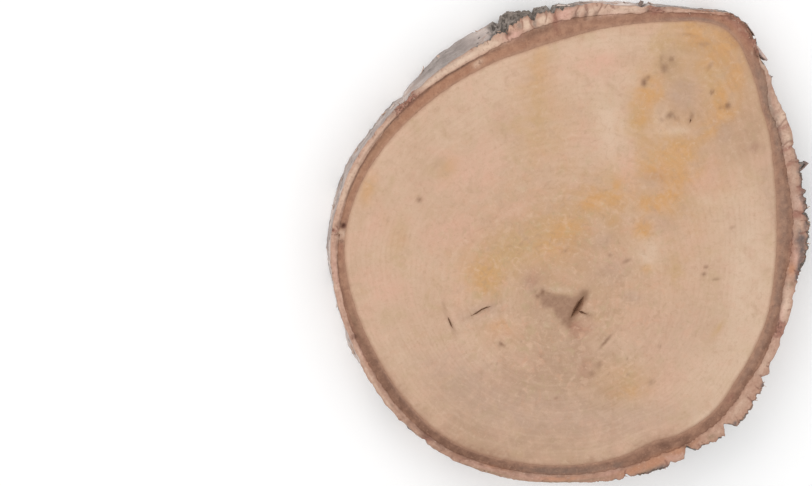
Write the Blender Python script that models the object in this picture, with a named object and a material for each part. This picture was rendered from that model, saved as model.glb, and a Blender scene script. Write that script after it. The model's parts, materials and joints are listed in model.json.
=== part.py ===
"""A dried slice of a birch log, lying on one of its two sawn faces.

The slice is one solid: wood, inner bark and outer bark grew together. Its polar angles are in
degrees, counted from +X towards +Y, about the middle of the sawn face. All sizes are in metres.
"""

import math

import bmesh
import bpy
import numpy as np
from mathutils import Vector, noise

MM = 0.001
THICKNESS = 28 * MM
MEAN_RADIUS = 121 * MM
STEP_DEG = 1.0

# The sawn face, read round its edge. Each row holds the angle, the radius of the wood, the width of
# the brown inner bark, the width of the outer bark, and how corky that bark is, from 0 to 1.
# The branch collar makes the corner at 53 degrees.
OUTLINE = np.array([
    (0, 105.7, 8.1, 7.7, 1.00),
    (10, 106.9, 7.9, 6.8, 0.90),
    (20, 110.2, 6.0, 6.6, 0.70),
    (30, 115.8, 4.5, 6.0, 0.60),
    (35, 118.3, 3.8, 5.2, 0.50),
    (40, 122.9, 6.0, 2.2, 0.50),
    (45, 127.2, 5.5, 3.5, 0.70),
    (50, 131.6, 6.9, 2.0, 0.90),
    (55, 132.6, 6.3, 2.0, 0.90),
    (60, 128.9, 4.5, 1.5, 0.60),
    (65, 123.2, 4.8, 2.4, 0.40),
    (75, 114.2, 5.5, 4.3, 0.40),
    (90, 104.2, 8.9, 6.4, 0.60),
    (100, 100.4, 9.4, 7.0, 0.90),
    (105, 99.5, 8.0, 7.9, 1.00),
    (110, 99.4, 6.7, 5.6, 0.60),
    (120, 99.3, 5.5, 4.9, 0.35),
    (135, 100.9, 6.0, 3.6, 0.30),
    (150, 104.9, 4.9, 3.5, 0.30),
    (165, 109.7, 3.9, 4.0, 0.20),
    (180, 112.7, 3.4, 3.8, 0.15),
    (195, 111.7, 5.0, 3.0, 0.25),
    (210, 111.3, 5.5, 3.5, 0.50),
    (225, 113.5, 5.1, 3.6, 0.25),
    (240, 115.4, 4.3, 3.8, 0.20),
    (255, 113.8, 4.6, 4.1, 0.15),
    (270, 113.0, 4.7, 3.8, 0.20),
    (285, 112.1, 5.8, 6.0, 0.70),
    (293, 110.5, 7.6, 7.2, 0.80),
    (300, 113.0, 6.3, 5.8, 0.90),
    (308, 114.1, 5.3, 7.6, 0.90),
    (315, 113.1, 5.7, 8.4, 0.90),
    (320, 111.2, 6.0, 8.3, 0.80),
    (325, 110.4, 6.2, 6.8, 0.70),
    (330, 109.6, 6.3, 5.2, 0.60),
    (340, 108.2, 5.7, 4.9, 0.50),
    (350, 106.2, 5.6, 6.0, 0.50),
])
WOOD, INNER_BARK, OUTER_BARK, CORKY = 1, 2, 3, 4

# Splits that run from face to face through the outer bark: angle, half width in degrees, depth in mm.
SPLITS = (
    (8.2, 1.0, 2.2),
    (22.6, 0.8, 1.8),
    (44.4, 1.5, 4.0),
    (47.8, 0.8, 2.2),
    (93.5, 0.9, 2.2),
    (98.4, 1.0, 3.0),
    (107.0, 1.0, 3.0),
    (138.5, 2.6, 1.3),
    (234.8, 0.9, 1.0),
    (285.2, 0.9, 1.8),
    (294.6, 0.9, 1.8),
    (299.4, 1.9, 4.6),
    (311.0, 1.7, 5.2),
    (324.4, 1.2, 2.6),
)
# Torn flakes and lumps that stand out of the bark: angle, half width in degrees, middle height in mm,
# half height in mm, and how far they stand out in mm.
FLAKES = (
    (2.0, 9.0, 19.0, 10.0, 2.0),
    (18.4, 0.9, 24.0, 6.0, 3.2),
    (39.4, 1.0, 25.0, 6.0, 1.2),
    (46.8, 1.4, 23.0, 7.0, 1.2),
    (72.0, 1.0, 24.0, 7.0, 1.4),
    (104.0, 4.0, 16.0, 13.0, 2.0),
    (117.0, 21.0, 8.0, 15.0, 5.2),
    (160.0, 5.0, 11.0, 7.0, 1.2),
    (206.0, 7.0, 12.0, 9.0, 1.8),
    (262.0, 6.0, 9.0, 7.0, 1.0),
    (290.0, 10.0, 8.0, 9.0, 1.5),
    (308.3, 1.0, 22.0, 9.0, 1.2),
    (314.2, 1.3, 22.0, 9.0, 1.0),
    (327.0, 0.9, 23.0, 7.0, 1.4),
    (355.0, 2.5, 21.0, 8.0, 1.6),
)
WAVE_LENGTH, WAVE_HEIGHT = 26 * MM, 0.7 * MM
CORK_WIDTH, CORK_LENGTH, CORK_HEIGHT = 6.5 * MM, 16 * MM, 1.5 * MM
CORK_FLOOR = 0.6
SPLIT_SLANT_DEG = 1.2
LEAST_OUTER_BARK = 1.0 * MM

# The inner bark dried to below the sawn faces. Its groove has sloping walls.
GROOVE_DEPTH, GROOVE_WALL = 1.0 * MM, 0.7 * MM
UNDERSIDE_SHIFT = 1.2 * MM
SIDE_HEIGHTS = np.array([0, 4, 9, 14, 19, 24, 28]) * MM

# Drying checks in the upper face: their points in mm, widest gap in mm and depth in mm.
CHECKS = {
    "heart_check": (((7.8, -25.2), (5.2, -30.6), (3.8, -34.4), (0.6, -38.8)), 1.8, 6.0),
    "heart_check_branch": (((4.3, -33.3), (6.9, -34.8), (10.2, -36.2)), 1.0, 4.0),
    "left_check": (((-63.2, -28.5), (-61.6, -33.6), (-60.2, -37.8), (-57.9, -42.6)), 0.8, 4.0),
    "left_check_across": (((-51.8, -36.7), (-47.0, -34.0), (-43.2, -31.3), (-37.4, -30.2)), 0.9, 4.0),
    "knot_check": (((59.3, 58.6), (60.6, 62.2), (61.7, 65.8)), 0.9, 4.0),
}
ABOVE_FACE = 1 * MM

SHARP_ANGLE = math.radians(40)


def clear_scene():
    for obj in list(bpy.data.objects):
        bpy.data.objects.remove(obj)


def round_the_edge(angles, column):
    """A smooth closed curve through one column of OUTLINE, at these angles."""
    known = np.append(OUTLINE[:, 0], OUTLINE[0, 0] + 360)
    values = np.append(OUTLINE[:, column], OUTLINE[0, column])
    slopes = np.empty(len(known))
    slopes[1:-1] = (values[2:] - values[:-2]) / (known[2:] - known[:-2])
    slopes[0] = slopes[-1] = (values[1] - values[-2]) / (known[1] - known[-2] + 360)
    at = np.mod(angles, 360)
    row = np.clip(np.searchsorted(known, at, side="right") - 1, 0, len(known) - 2)
    gap = known[row + 1] - known[row]
    t = (at - known[row]) / gap
    return (
        values[row] * (1 + 2 * t) * (1 - t) ** 2
        + values[row + 1] * (3 - 2 * t) * t**2
        + slopes[row] * gap * t * (1 - t) ** 2
        - slopes[row + 1] * gap * (1 - t) * t**2
    )


def turn_between(angles, middle):
    """The signed turn from middle to each angle, from -180 to 180."""
    return np.mod(angles - middle + 180, 360) - 180


def hump(distance, half_width):
    """1 in the middle, falling smoothly to 0 at half_width."""
    share = np.clip(np.abs(distance) / half_width, 0, 1)
    return (1 - share**2) ** 2


def bark_noise(angles, height, length_round, length_up, seed):
    """Smooth noise over the bark, with its own grain length round the log and along it."""
    values = []
    for angle in np.radians(angles):
        x = MEAN_RADIUS * math.cos(angle) / length_round
        y = MEAN_RADIUS * math.sin(angle) / length_round
        values.append(noise.noise(Vector((x, y, height / length_up + seed))))
    return np.array(values)


def inner_bark_edge(angles):
    """Where the inner bark ends and the outer bark begins."""
    return (round_the_edge(angles, WOOD) + round_the_edge(angles, INNER_BARK)) * MM


def bark_surface(angles, height):
    """The radius of the outer bark at one height above the lower face."""
    corky = np.clip(round_the_edge(angles, CORKY), 0, 1)
    radius = inner_bark_edge(angles) + round_the_edge(angles, OUTER_BARK) * MM
    radius = radius + WAVE_HEIGHT * bark_noise(angles, height, WAVE_LENGTH, WAVE_LENGTH, 3.0)
    ridges = 1 - 2 * np.abs(bark_noise(angles, height, CORK_WIDTH, CORK_LENGTH, 11.0))
    radius = radius + CORK_HEIGHT * corky * (ridges - CORK_FLOOR)
    for middle, half_width, level, half_height, out in FLAKES:
        shape = hump(turn_between(angles, middle), half_width) * hump(height / MM - level, half_height)
        radius = radius + out * MM * shape
    for middle, half_width, depth in SPLITS:
        slant = SPLIT_SLANT_DEG * math.sin(height / THICKNESS * math.pi + middle)
        distance = np.abs(turn_between(angles, middle + slant * height / THICKNESS))
        radius = radius - depth * MM * np.clip(1 - distance / half_width, 0, 1)
    return np.maximum(radius, inner_bark_edge(angles) + LEAST_OUTER_BARK)


def ring_of_points(angles, radii, height):
    turn = np.radians(angles)
    return np.stack([radii * np.cos(turn), radii * np.sin(turn), np.full(len(turn), height)], axis=1)


def slice_rings():
    """The closed rings of points that the surface runs through, from the lower face to the upper."""
    angles = np.arange(0, 360, STEP_DEG)
    wood = round_the_edge(angles, WOOD) * MM
    inner = inner_bark_edge(angles)
    low_wood = wood + UNDERSIDE_SHIFT * np.sin(np.radians(2 * angles))
    top, sunk = THICKNESS, THICKNESS - GROOVE_DEPTH
    rings = [
        ring_of_points(angles, low_wood, 0),
        ring_of_points(angles, (low_wood + inner) / 2, GROOVE_DEPTH),
        ring_of_points(angles, inner, 0),
    ]
    rings += [ring_of_points(angles, bark_surface(angles, height), height) for height in SIDE_HEIGHTS]
    rings += [
        ring_of_points(angles, inner, top),
        ring_of_points(angles, inner - GROOVE_WALL, sunk),
        ring_of_points(angles, wood + GROOVE_WALL, sunk),
        ring_of_points(angles, wood, top),
    ]
    return rings


def middle_of(rings):
    """The middle of the whole slice, seen from above."""
    points = np.concatenate(rings)
    low, high = points.min(axis=0), points.max(axis=0)
    return Vector(((low[0] + high[0]) / 2, (low[1] + high[1]) / 2, 0))


def material(name, color, roughness):
    made = bpy.data.materials.new(name)
    made.use_nodes = True
    shader = made.node_tree.nodes["Principled BSDF"]
    shader.inputs["Base Color"].default_value = (*color, 1)
    shader.inputs["Roughness"].default_value = roughness
    shader.inputs["Metallic"].default_value = 0
    return made


def mesh_object(name, bm):
    mesh = bpy.data.meshes.new(name)
    bm.to_mesh(mesh)
    bm.free()
    obj = bpy.data.objects.new(name, mesh)
    bpy.context.scene.collection.objects.link(obj)
    return obj


def slice_solid(rings, middle):
    """Skins the rings into one closed solid whose bounding box is centred on the Z axis."""
    bm = bmesh.new()
    loops = [[bm.verts.new(Vector(point) - middle) for point in ring] for ring in rings]
    count = len(loops[0])
    for lower, upper in zip(loops, loops[1:]):
        for i in range(count):
            j = (i + 1) % count
            bm.faces.new((lower[i], lower[j], upper[j], upper[i]))
    caps = [bm.faces.new(reversed(loops[0])), bm.faces.new(loops[-1])]
    bmesh.ops.triangulate(bm, faces=caps, ngon_method="BEAUTY")
    return mesh_object("birch_slice", bm)


def paint(obj):
    """Gives the sawn wood, the inner bark and the outer bark a material each."""
    obj.data.materials.append(material("birch_wood", (0.60, 0.42, 0.27), 0.7))
    obj.data.materials.append(material("birch_inner_bark", (0.33, 0.18, 0.12), 0.8))
    obj.data.materials.append(material("birch_bark", (0.55, 0.47, 0.42), 0.85))
    for face in obj.data.polygons:
        centre = face.center
        turn = np.array([math.degrees(math.atan2(centre.y, centre.x))])
        radius = math.hypot(centre.x, centre.y)
        if radius > inner_bark_edge(turn)[0]:
            face.material_index = 2
        elif radius > round_the_edge(turn, WOOD)[0] * MM:
            face.material_index = 1
    obj.data.shade_smooth()
    obj.data.set_sharp_from_angle(angle=SHARP_ANGLE)


def check_cutter(name, points, gap, depth, middle):
    """A wedge along one drying check: widest at the face and half way along, and closed at both ends."""
    top = THICKNESS + ABOVE_FACE
    bottom = THICKNESS - depth * MM
    half_width = gap * MM / 2 * (top - bottom) / (THICKNESS - bottom)
    path = [Vector((x * MM, y * MM, top)) - middle for x, y in points]
    down = Vector((0, 0, bottom - top))
    bm = bmesh.new()
    sections = []
    for before, point, after in zip(path, path[1:], path[2:]):
        along = (after - before).normalized()
        side = Vector((-along.y, along.x, 0)) * half_width
        sections.append([bm.verts.new(point + offset) for offset in (side, -side, down)])
    first, last = bm.verts.new(path[0]), bm.verts.new(path[-1])
    for section, other in zip(sections, sections[1:]):
        for i in range(3):
            j = (i + 1) % 3
            bm.faces.new((section[i], section[j], other[j], other[i]))
    for i in range(3):
        j = (i + 1) % 3
        bm.faces.new((first, sections[0][j], sections[0][i]))
        bm.faces.new((last, sections[-1][i], sections[-1][j]))
    bmesh.ops.recalc_face_normals(bm, faces=bm.faces)
    cutter = mesh_object(name, bm)
    cutter.hide_render = True
    cutter.display_type = "WIRE"
    return cutter


def cut(obj, cutter):
    """Opens one drying check in the slice."""
    modifier = obj.modifiers.new(cutter.name, "BOOLEAN")
    modifier.operation = "DIFFERENCE"
    modifier.solver = "EXACT"
    modifier.object = cutter


def main():
    clear_scene()
    rings = slice_rings()
    middle = middle_of(rings)
    birch_slice = slice_solid(rings, middle)
    paint(birch_slice)
    for name, (points, gap, depth) in CHECKS.items():
        cut(birch_slice, check_cutter(name, points, gap, depth, middle))


main()
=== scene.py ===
"""The looks of the birch slice: its sawn wood, its inner bark, its outer bark and what is torn loose.

Polar angles are in degrees, counted from +X towards +Y, about the middle of the sawn face, which is
the point of the record's mount top_face. Lengths are in metres, and MM turns millimetres into them.
"""

import json
import math

import bmesh
import bpy
import numpy as np
from mathutils import Matrix, Vector, noise

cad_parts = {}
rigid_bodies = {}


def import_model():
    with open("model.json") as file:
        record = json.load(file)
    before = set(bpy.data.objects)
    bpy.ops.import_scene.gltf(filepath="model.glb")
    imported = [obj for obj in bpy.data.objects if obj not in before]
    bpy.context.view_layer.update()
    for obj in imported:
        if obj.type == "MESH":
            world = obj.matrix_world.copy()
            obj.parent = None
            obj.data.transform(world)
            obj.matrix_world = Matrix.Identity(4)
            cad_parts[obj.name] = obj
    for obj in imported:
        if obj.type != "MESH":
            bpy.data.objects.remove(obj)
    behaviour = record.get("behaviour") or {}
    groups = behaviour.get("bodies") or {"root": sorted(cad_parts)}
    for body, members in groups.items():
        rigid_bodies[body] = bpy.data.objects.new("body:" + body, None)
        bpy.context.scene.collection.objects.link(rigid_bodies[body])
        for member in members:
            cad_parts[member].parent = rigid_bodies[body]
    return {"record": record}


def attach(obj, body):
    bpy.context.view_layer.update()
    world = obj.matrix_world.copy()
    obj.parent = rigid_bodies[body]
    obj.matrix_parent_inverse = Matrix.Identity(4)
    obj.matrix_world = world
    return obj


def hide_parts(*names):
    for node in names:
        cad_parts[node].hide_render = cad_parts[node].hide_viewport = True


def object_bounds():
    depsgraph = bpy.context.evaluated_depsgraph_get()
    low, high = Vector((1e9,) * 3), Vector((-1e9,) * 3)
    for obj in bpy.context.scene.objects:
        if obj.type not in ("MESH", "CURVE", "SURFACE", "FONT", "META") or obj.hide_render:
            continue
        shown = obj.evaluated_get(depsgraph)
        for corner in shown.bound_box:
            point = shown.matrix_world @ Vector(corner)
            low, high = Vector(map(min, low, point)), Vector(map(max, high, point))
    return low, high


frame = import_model()
cad_box = [list(corner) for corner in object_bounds()]
cad_low, cad_high = np.array(cad_box)

MM = 0.001
FACE = next(mount for mount in frame["record"]["mounts"] if mount["name"] == "top_face")
CENTRE = np.array([FACE["pos_m"][0], FACE["pos_m"][1], 0.0])
THICKNESS = FACE["pos_m"][2]
MEAN_RADIUS = 121 * MM

# The sawn face, as the CAD part has it: the angle, the radius of the wood, the width of the brown
# inner bark, the width of the outer bark, all in mm, and how corky that bark is, from 0 to 1.
OUTLINE = np.array([
    (0, 105.7, 8.1, 7.7, 1), (10, 106.9, 7.9, 6.8, 0.9), (20, 110.2, 6, 6.6, 0.7),
    (30, 115.8, 4.5, 6, 0.6), (35, 118.3, 3.8, 5.2, 0.5), (40, 122.9, 6, 2.2, 0.5),
    (45, 127.2, 5.5, 3.5, 0.7), (50, 131.6, 6.9, 2, 0.9), (55, 132.6, 6.3, 2, 0.9),
    (60, 128.9, 4.5, 1.5, 0.6), (65, 123.2, 4.8, 2.4, 0.4), (75, 114.2, 5.5, 4.3, 0.4),
    (90, 104.2, 8.9, 6.4, 0.6), (100, 100.4, 9.4, 7, 0.9), (105, 99.5, 8, 7.9, 1),
    (110, 99.4, 6.7, 5.6, 0.6), (120, 99.3, 5.5, 4.9, 0.35), (135, 100.9, 6, 3.6, 0.3),
    (150, 104.9, 4.9, 3.5, 0.3), (165, 109.7, 3.9, 4, 0.2), (180, 112.7, 3.4, 3.8, 0.15),
    (195, 111.7, 5, 3, 0.25), (210, 111.3, 5.5, 3.5, 0.5), (225, 113.5, 5.1, 3.6, 0.25),
    (240, 115.4, 4.3, 3.8, 0.2), (255, 113.8, 4.6, 4.1, 0.15), (270, 113, 4.7, 3.8, 0.2),
    (285, 112.1, 5.8, 6, 0.7), (293, 110.5, 7.6, 7.2, 0.8), (300, 113, 6.3, 5.8, 0.9),
    (308, 114.1, 5.3, 7.6, 0.9), (315, 113.1, 5.7, 8.4, 0.9), (320, 111.2, 6, 8.3, 0.8),
    (325, 110.4, 6.2, 6.8, 0.7), (330, 109.6, 6.3, 5.2, 0.6), (340, 108.2, 5.7, 4.9, 0.5),
    (350, 106.2, 5.6, 6, 0.5),
])
WOOD, INNER_BARK, OUTER_BARK, CORKY = 1, 2, 3, 4

# Splits through the outer bark from face to face: angle, half width in degrees, depth in mm.
SPLITS = (
    (8.2, 1, 2.2), (22.6, 0.8, 1.8), (44.4, 1.5, 4), (47.8, 0.8, 2.2), (93.5, 0.9, 2.2), (98.4, 1, 3),
    (107, 1, 3), (138.5, 2.6, 1.3), (234.8, 0.9, 1), (285.2, 0.9, 1.8), (294.6, 0.9, 1.8),
    (299.4, 1.9, 4.6), (311, 1.7, 5.2), (324.4, 1.2, 2.6),
)
# Flakes and lumps on the bark: angle, half width in degrees, middle height, half height and how far
# they stand out, in mm.
FLAKES = (
    (2, 9, 19, 10, 2), (18.4, 0.9, 24, 6, 3.2), (39.4, 1, 25, 6, 1.2), (46.8, 1.4, 23, 7, 1.2),
    (72, 1, 24, 7, 1.4), (104, 4, 16, 13, 2), (117, 21, 8, 15, 5.2), (160, 5, 11, 7, 1.2),
    (206, 7, 12, 9, 1.8), (262, 6, 9, 7, 1), (290, 10, 8, 9, 1.5), (308.3, 1, 22, 9, 1.2),
    (314.2, 1.3, 22, 9, 1), (327, 0.9, 23, 7, 1.4), (355, 2.5, 21, 8, 1.6),
)
# The bark's relief on the solid: soft waves, and ridges of cork where the bark is corky.
WAVE_LENGTH, WAVE_HEIGHT = 26 * MM, 0.7 * MM
CORK_WIDTH, CORK_LENGTH, CORK_HEIGHT = 6.5 * MM, 16 * MM, 1.5 * MM
CORK_FLOOR = 0.6
SPLIT_SLANT_DEG = 1.2
LEAST_OUTER_BARK = 1.0 * MM
# How far the outline of the wood's lower face moves in and out from the upper one.
UNDERSIDE_SHIFT = 1.2 * MM

# The pith and the knot, from the middle of the face.
PITH = np.array([-5.1, -28.3]) * MM
KNOT = np.array([57.5, 73.0]) * MM

# Drying checks, close to the CAD solid's own: their points in mm, widest gap and depth in mm.
CHECKS = (
    (((8.6, -24.4), (5.9, -29.8), (3.8, -33.4), (-0.4, -39.4)), 3.8, 3),
    (((3.2, -32.9), (6.8, -34.3), (11.4, -36)), 1.7, 1.5),
    (((-61.6, -34), (-60.4, -37), (-59.2, -40), (-57.3, -43.6)), 0.9, 0.8),
    (((-52.6, -37.2), (-46.6, -34.1), (-43.8, -32.2), (-41.4, -31.2), (-35.8, -30)), 0.9, 0.8),
    (((59.5, 58.6), (60.7, 62), (61.6, 65)), 0.9, 0.8),
)
ABOVE_FACE = 1 * MM


class Noise:
    """Smooth seeded noise over points in space, from about -1 to 1."""

    def __init__(self, seed):
        random = np.random.default_rng(seed)
        self.order = np.tile(random.permutation(256), 3)
        slopes = random.normal(size=(256, 3))
        self.slopes = slopes / np.linalg.norm(slopes, axis=1, keepdims=True)

    def at(self, x, y, z=0.0):
        point = np.stack(np.broadcast_arrays(x, y, z), axis=-1)
        cell = np.floor(point).astype(int)
        inside = point - cell
        fade = inside**3 * (inside * (inside * 6 - 15) + 10)
        total = 0
        for corner in np.ndindex(2, 2, 2):
            i, j, k = np.moveaxis((cell + corner) & 255, -1, 0)
            slope = self.slopes[self.order[self.order[self.order[i] + j] + k]]
            weight = np.prod(np.where(corner, fade, 1 - fade), axis=-1)
            total = total + weight * np.sum(slope * (inside - corner), axis=-1)
        return 1.6 * total

    def layers(self, x, y, z=0.0, count=3):
        return sum(self.at(x * 2**i, y * 2**i, np.asarray(z) * 2**i) / 2**i for i in range(count))

    def flat(self, x, y, length, count):
        """Noise over a face, whose coarsest grain has this length."""
        return self.layers(x / length, y / length, 0, count)

    def round_log(self, angles, height, length_round, length_up, count=1):
        """Noise over the bark, with its own grain length round the log and along it."""
        turn = np.radians(angles)
        x = MEAN_RADIUS * np.cos(turn) / length_round
        y = MEAN_RADIUS * np.sin(turn) / length_round
        return self.layers(x, y, height / length_up, count)


def outline(angles, column):
    """A smooth closed curve through one column of OUTLINE, at these angles."""
    known = np.append(OUTLINE[:, 0], OUTLINE[0, 0] + 360)
    values = np.append(OUTLINE[:, column], OUTLINE[0, column])
    slopes = np.empty(len(known))
    slopes[1:-1] = (values[2:] - values[:-2]) / (known[2:] - known[:-2])
    slopes[0] = slopes[-1] = (values[1] - values[-2]) / (known[1] - known[-2] + 360)
    at = np.mod(angles, 360)
    row = np.clip(np.searchsorted(known, at, side="right") - 1, 0, len(known) - 2)
    gap = known[row + 1] - known[row]
    t = (at - known[row]) / gap
    return (
        values[row] * (1 + 2 * t) * (1 - t) ** 2
        + values[row + 1] * (3 - 2 * t) * t**2
        + slopes[row] * gap * t * (1 - t) ** 2
        - slopes[row + 1] * gap * (1 - t) * t**2
    )


def turn_between(angles, middle):
    """The signed turn from middle to each angle, from -180 to 180."""
    return np.mod(angles - middle + 180, 360) - 180


def hump(distance, half_width):
    """1 in the middle, falling smoothly to 0 at half_width."""
    share = np.clip(np.abs(distance) / half_width, 0, 1)
    return (1 - share**2) ** 2


def ease(value, low, high):
    """0 up to low, 1 from high on, and smooth between."""
    t = np.clip((value - low) / (high - low), 0, 1)
    return t * t * (3 - 2 * t)


def wood_edge(angles, upper=True):
    edge = outline(angles, WOOD) * MM
    return edge if upper else edge + UNDERSIDE_SHIFT * np.sin(np.radians(2 * angles))


def bark_start(angles):
    """Where the inner bark ends and the outer bark begins."""
    return (outline(angles, WOOD) + outline(angles, INNER_BARK)) * MM


def corky(angles):
    return np.clip(outline(angles, CORKY), 0, 1)


def solid_noise(angles, height, length_round, length_up, seed):
    """The noise that shapes the solid's bark, so that these surfaces follow the same waves."""
    turn = np.radians(angles)
    points = np.stack(np.broadcast_arrays(
        MEAN_RADIUS * np.cos(turn) / length_round,
        MEAN_RADIUS * np.sin(turn) / length_round,
        height / length_up + seed,
    ), axis=-1)
    values = [noise.noise(Vector(point)) for point in points.reshape(-1, 3)]
    return np.array(values).reshape(points.shape[:-1])


def solid_bark(angles, height):
    """The radius of the outer bark as the CAD solid has it."""
    radius = bark_start(angles) + outline(angles, OUTER_BARK) * MM
    radius = radius + WAVE_HEIGHT * solid_noise(angles, height, WAVE_LENGTH, WAVE_LENGTH, 3.0)
    ridges = 1 - 2 * np.abs(solid_noise(angles, height, CORK_WIDTH, CORK_LENGTH, 11.0))
    radius = radius + CORK_HEIGHT * corky(angles) * (ridges - CORK_FLOOR)
    for middle, half_width, level, half_height, out in FLAKES:
        shape = hump(turn_between(angles, middle), half_width) * hump(height / MM - level, half_height)
        radius = radius + out * MM * shape
    for middle, half_width, depth in SPLITS:
        slant = SPLIT_SLANT_DEG * np.sin(height / THICKNESS * math.pi + middle)
        distance = np.abs(turn_between(angles, middle + slant * height / THICKNESS))
        radius = radius - depth * MM * np.clip(1 - distance / half_width, 0, 1)
    return np.maximum(radius, bark_start(angles) + LEAST_OUTER_BARK)


# Lenticels are the short dark dashes across birch bark: half lengths in mm, and how common each is.
LENTICELS = 420
LENTICEL_LENGTHS = (1.2, 1.8, 2.6, 5.0, 9.0)
LENTICEL_SHARES = (0.3, 0.3, 0.2, 0.14, 0.06)
CORK_FINE_WIDTH, CORK_FINE_LENGTH, CORK_FINE_HEIGHT = 2.4 * MM, 8 * MM, 1.1 * MM
GRAIN_LENGTH, GRAIN_HEIGHT = 1.1 * MM, 0.28 * MM
PEEL_DEPTH = 0.35 * MM
LENTICEL_MM, LIP_MM, FIBRE_MM = 0.22, 0.25, 0.12


def lenticels(angles, heights):
    """The raised dashes over a grid of heights and angles, from 0 to 1."""
    raised = np.zeros((len(heights), len(angles)))
    random = np.random.default_rng(25)
    for _ in range(LENTICELS):
        middle, level = random.uniform(0, 360), random.uniform(0, THICKNESS)
        half_long = random.choice(LENTICEL_LENGTHS, p=LENTICEL_SHARES) * MM
        half_tall = random.uniform(0.35, 0.65) * MM
        bend = random.uniform(-0.05, 0.05)
        across = np.radians(turn_between(angles, middle)) * MEAN_RADIUS
        near = np.flatnonzero(np.abs(across) < half_long)
        rise = heights[:, None] - level - bend * across[near]
        dash = hump(across[near], half_long) * hump(rise, half_tall)
        raised[:, near] = np.maximum(raised[:, near], dash)
    return raised


def bark_side(angles, heights):
    """The radius of the bark over a grid of heights and angles, and the masks that colour it."""
    around, height = angles[None, :], heights[:, None]
    patches = Noise(21).round_log(around, height, 24 * MM, 30 * MM, 3)
    rough = ease(corky(around) + 0.55 * patches, 0.5, 0.78)
    ridged = 1 - 2 * np.abs(Noise(22).round_log(around, height, CORK_FINE_WIDTH, CORK_FINE_LENGTH, 2))
    grain = Noise(23).round_log(around, height, GRAIN_LENGTH, GRAIN_LENGTH)
    sheets = Noise(24).round_log(around, height, 38 * MM, 7 * MM, 3)
    smooth = 1 - rough
    light = along_rim(angles, SIDE_PLACES["light"])
    peel = ease(sheets, 0.34, 0.38) * smooth * (1 - light)
    lip = hump(sheets - 0.33, 0.05) * smooth * (1 - 0.7 * light)
    lenticel = lenticels(angles, heights) * smooth
    fibre = Noise(26).round_log(around, height, 5 * MM, 2 * MM, 2)
    radius = solid_bark(around, height)
    cork = CORK_FINE_HEIGHT * (ridged - 0.7) + GRAIN_HEIGHT * grain
    radius = radius + rough * (1 - 0.5 * light) * cork
    raised = LENTICEL_MM * lenticel + LIP_MM * lip + FIBRE_MM * smooth * fibre
    radius = radius + MM * raised - PEEL_DEPTH * peel
    radius = np.maximum(radius, bark_start(around) + 0.8 * LEAST_OUTER_BARK)
    masks = {"rough": rough, "relief": ridged, "lenticel": lenticel, "peel": peel, "lip": lip}
    return radius, masks


# Radial cracks in the sawn outer bark: angle, half width in degrees, how far in they reach, 0 to 1.
CRACKS = (
    (2.6, 0.5, 0.6), (7.6, 0.6, 1), (14, 0.4, 0.5), (20, 0.4, 0.8), (24.4, 0.45, 1), (29.4, 0.45, 1),
    (79.5, 0.35, 0.5), (83, 0.4, 0.9), (86.1, 0.4, 1), (88.4, 0.4, 1), (93.6, 0.6, 1), (96.4, 0.4, 0.9),
    (99.8, 0.6, 1), (102.6, 0.4, 0.8), (106.6, 0.7, 1), (233.8, 0.4, 0.9), (284.6, 0.4, 0.7),
    (294, 0.4, 0.6), (303.5, 0.35, 0.5), (319, 0.35, 0.5), (353, 0.4, 0.6),
)
SMALL_CRACKS = 44
CRACK_DEPTH = 0.5 * MM
# Where the outer bark broke away at the face: angle, half width in degrees and strength.
BROKEN = (
    (50.6, 5.6, 1), (70.2, 1.6, 0.9), (138.6, 3.6, 1), (176.2, 0.9, 0.9), (203, 0.8, 0.5),
    (337.6, 2.4, 0.9),
)
# Stretches of the bark's side, as above: light ones, dark ones, and where its upper edge is black.
SIDE_PLACES = {
    "light": (
        (124, 19, 1), (64, 14, 1), (35, 8, 0.8), (44, 6, 1), (160, 20, 0.5), (340, 9, 0.5),
        (142, 8, 0.8),
    ),
    "dark": (
        (101, 10, 1), (90, 8, 0.9), (10, 14, 0.8), (300, 24, 0.5), (356, 7, 1),
    ),
    "black": (
        (10, 14, 1), (290, 9, 0.9), (318, 10, 0.7), (98, 7, 0.7), (356, 7, 1), (303, 6, 0.5),
        (51, 4, 0.4),
    ),
}
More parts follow.
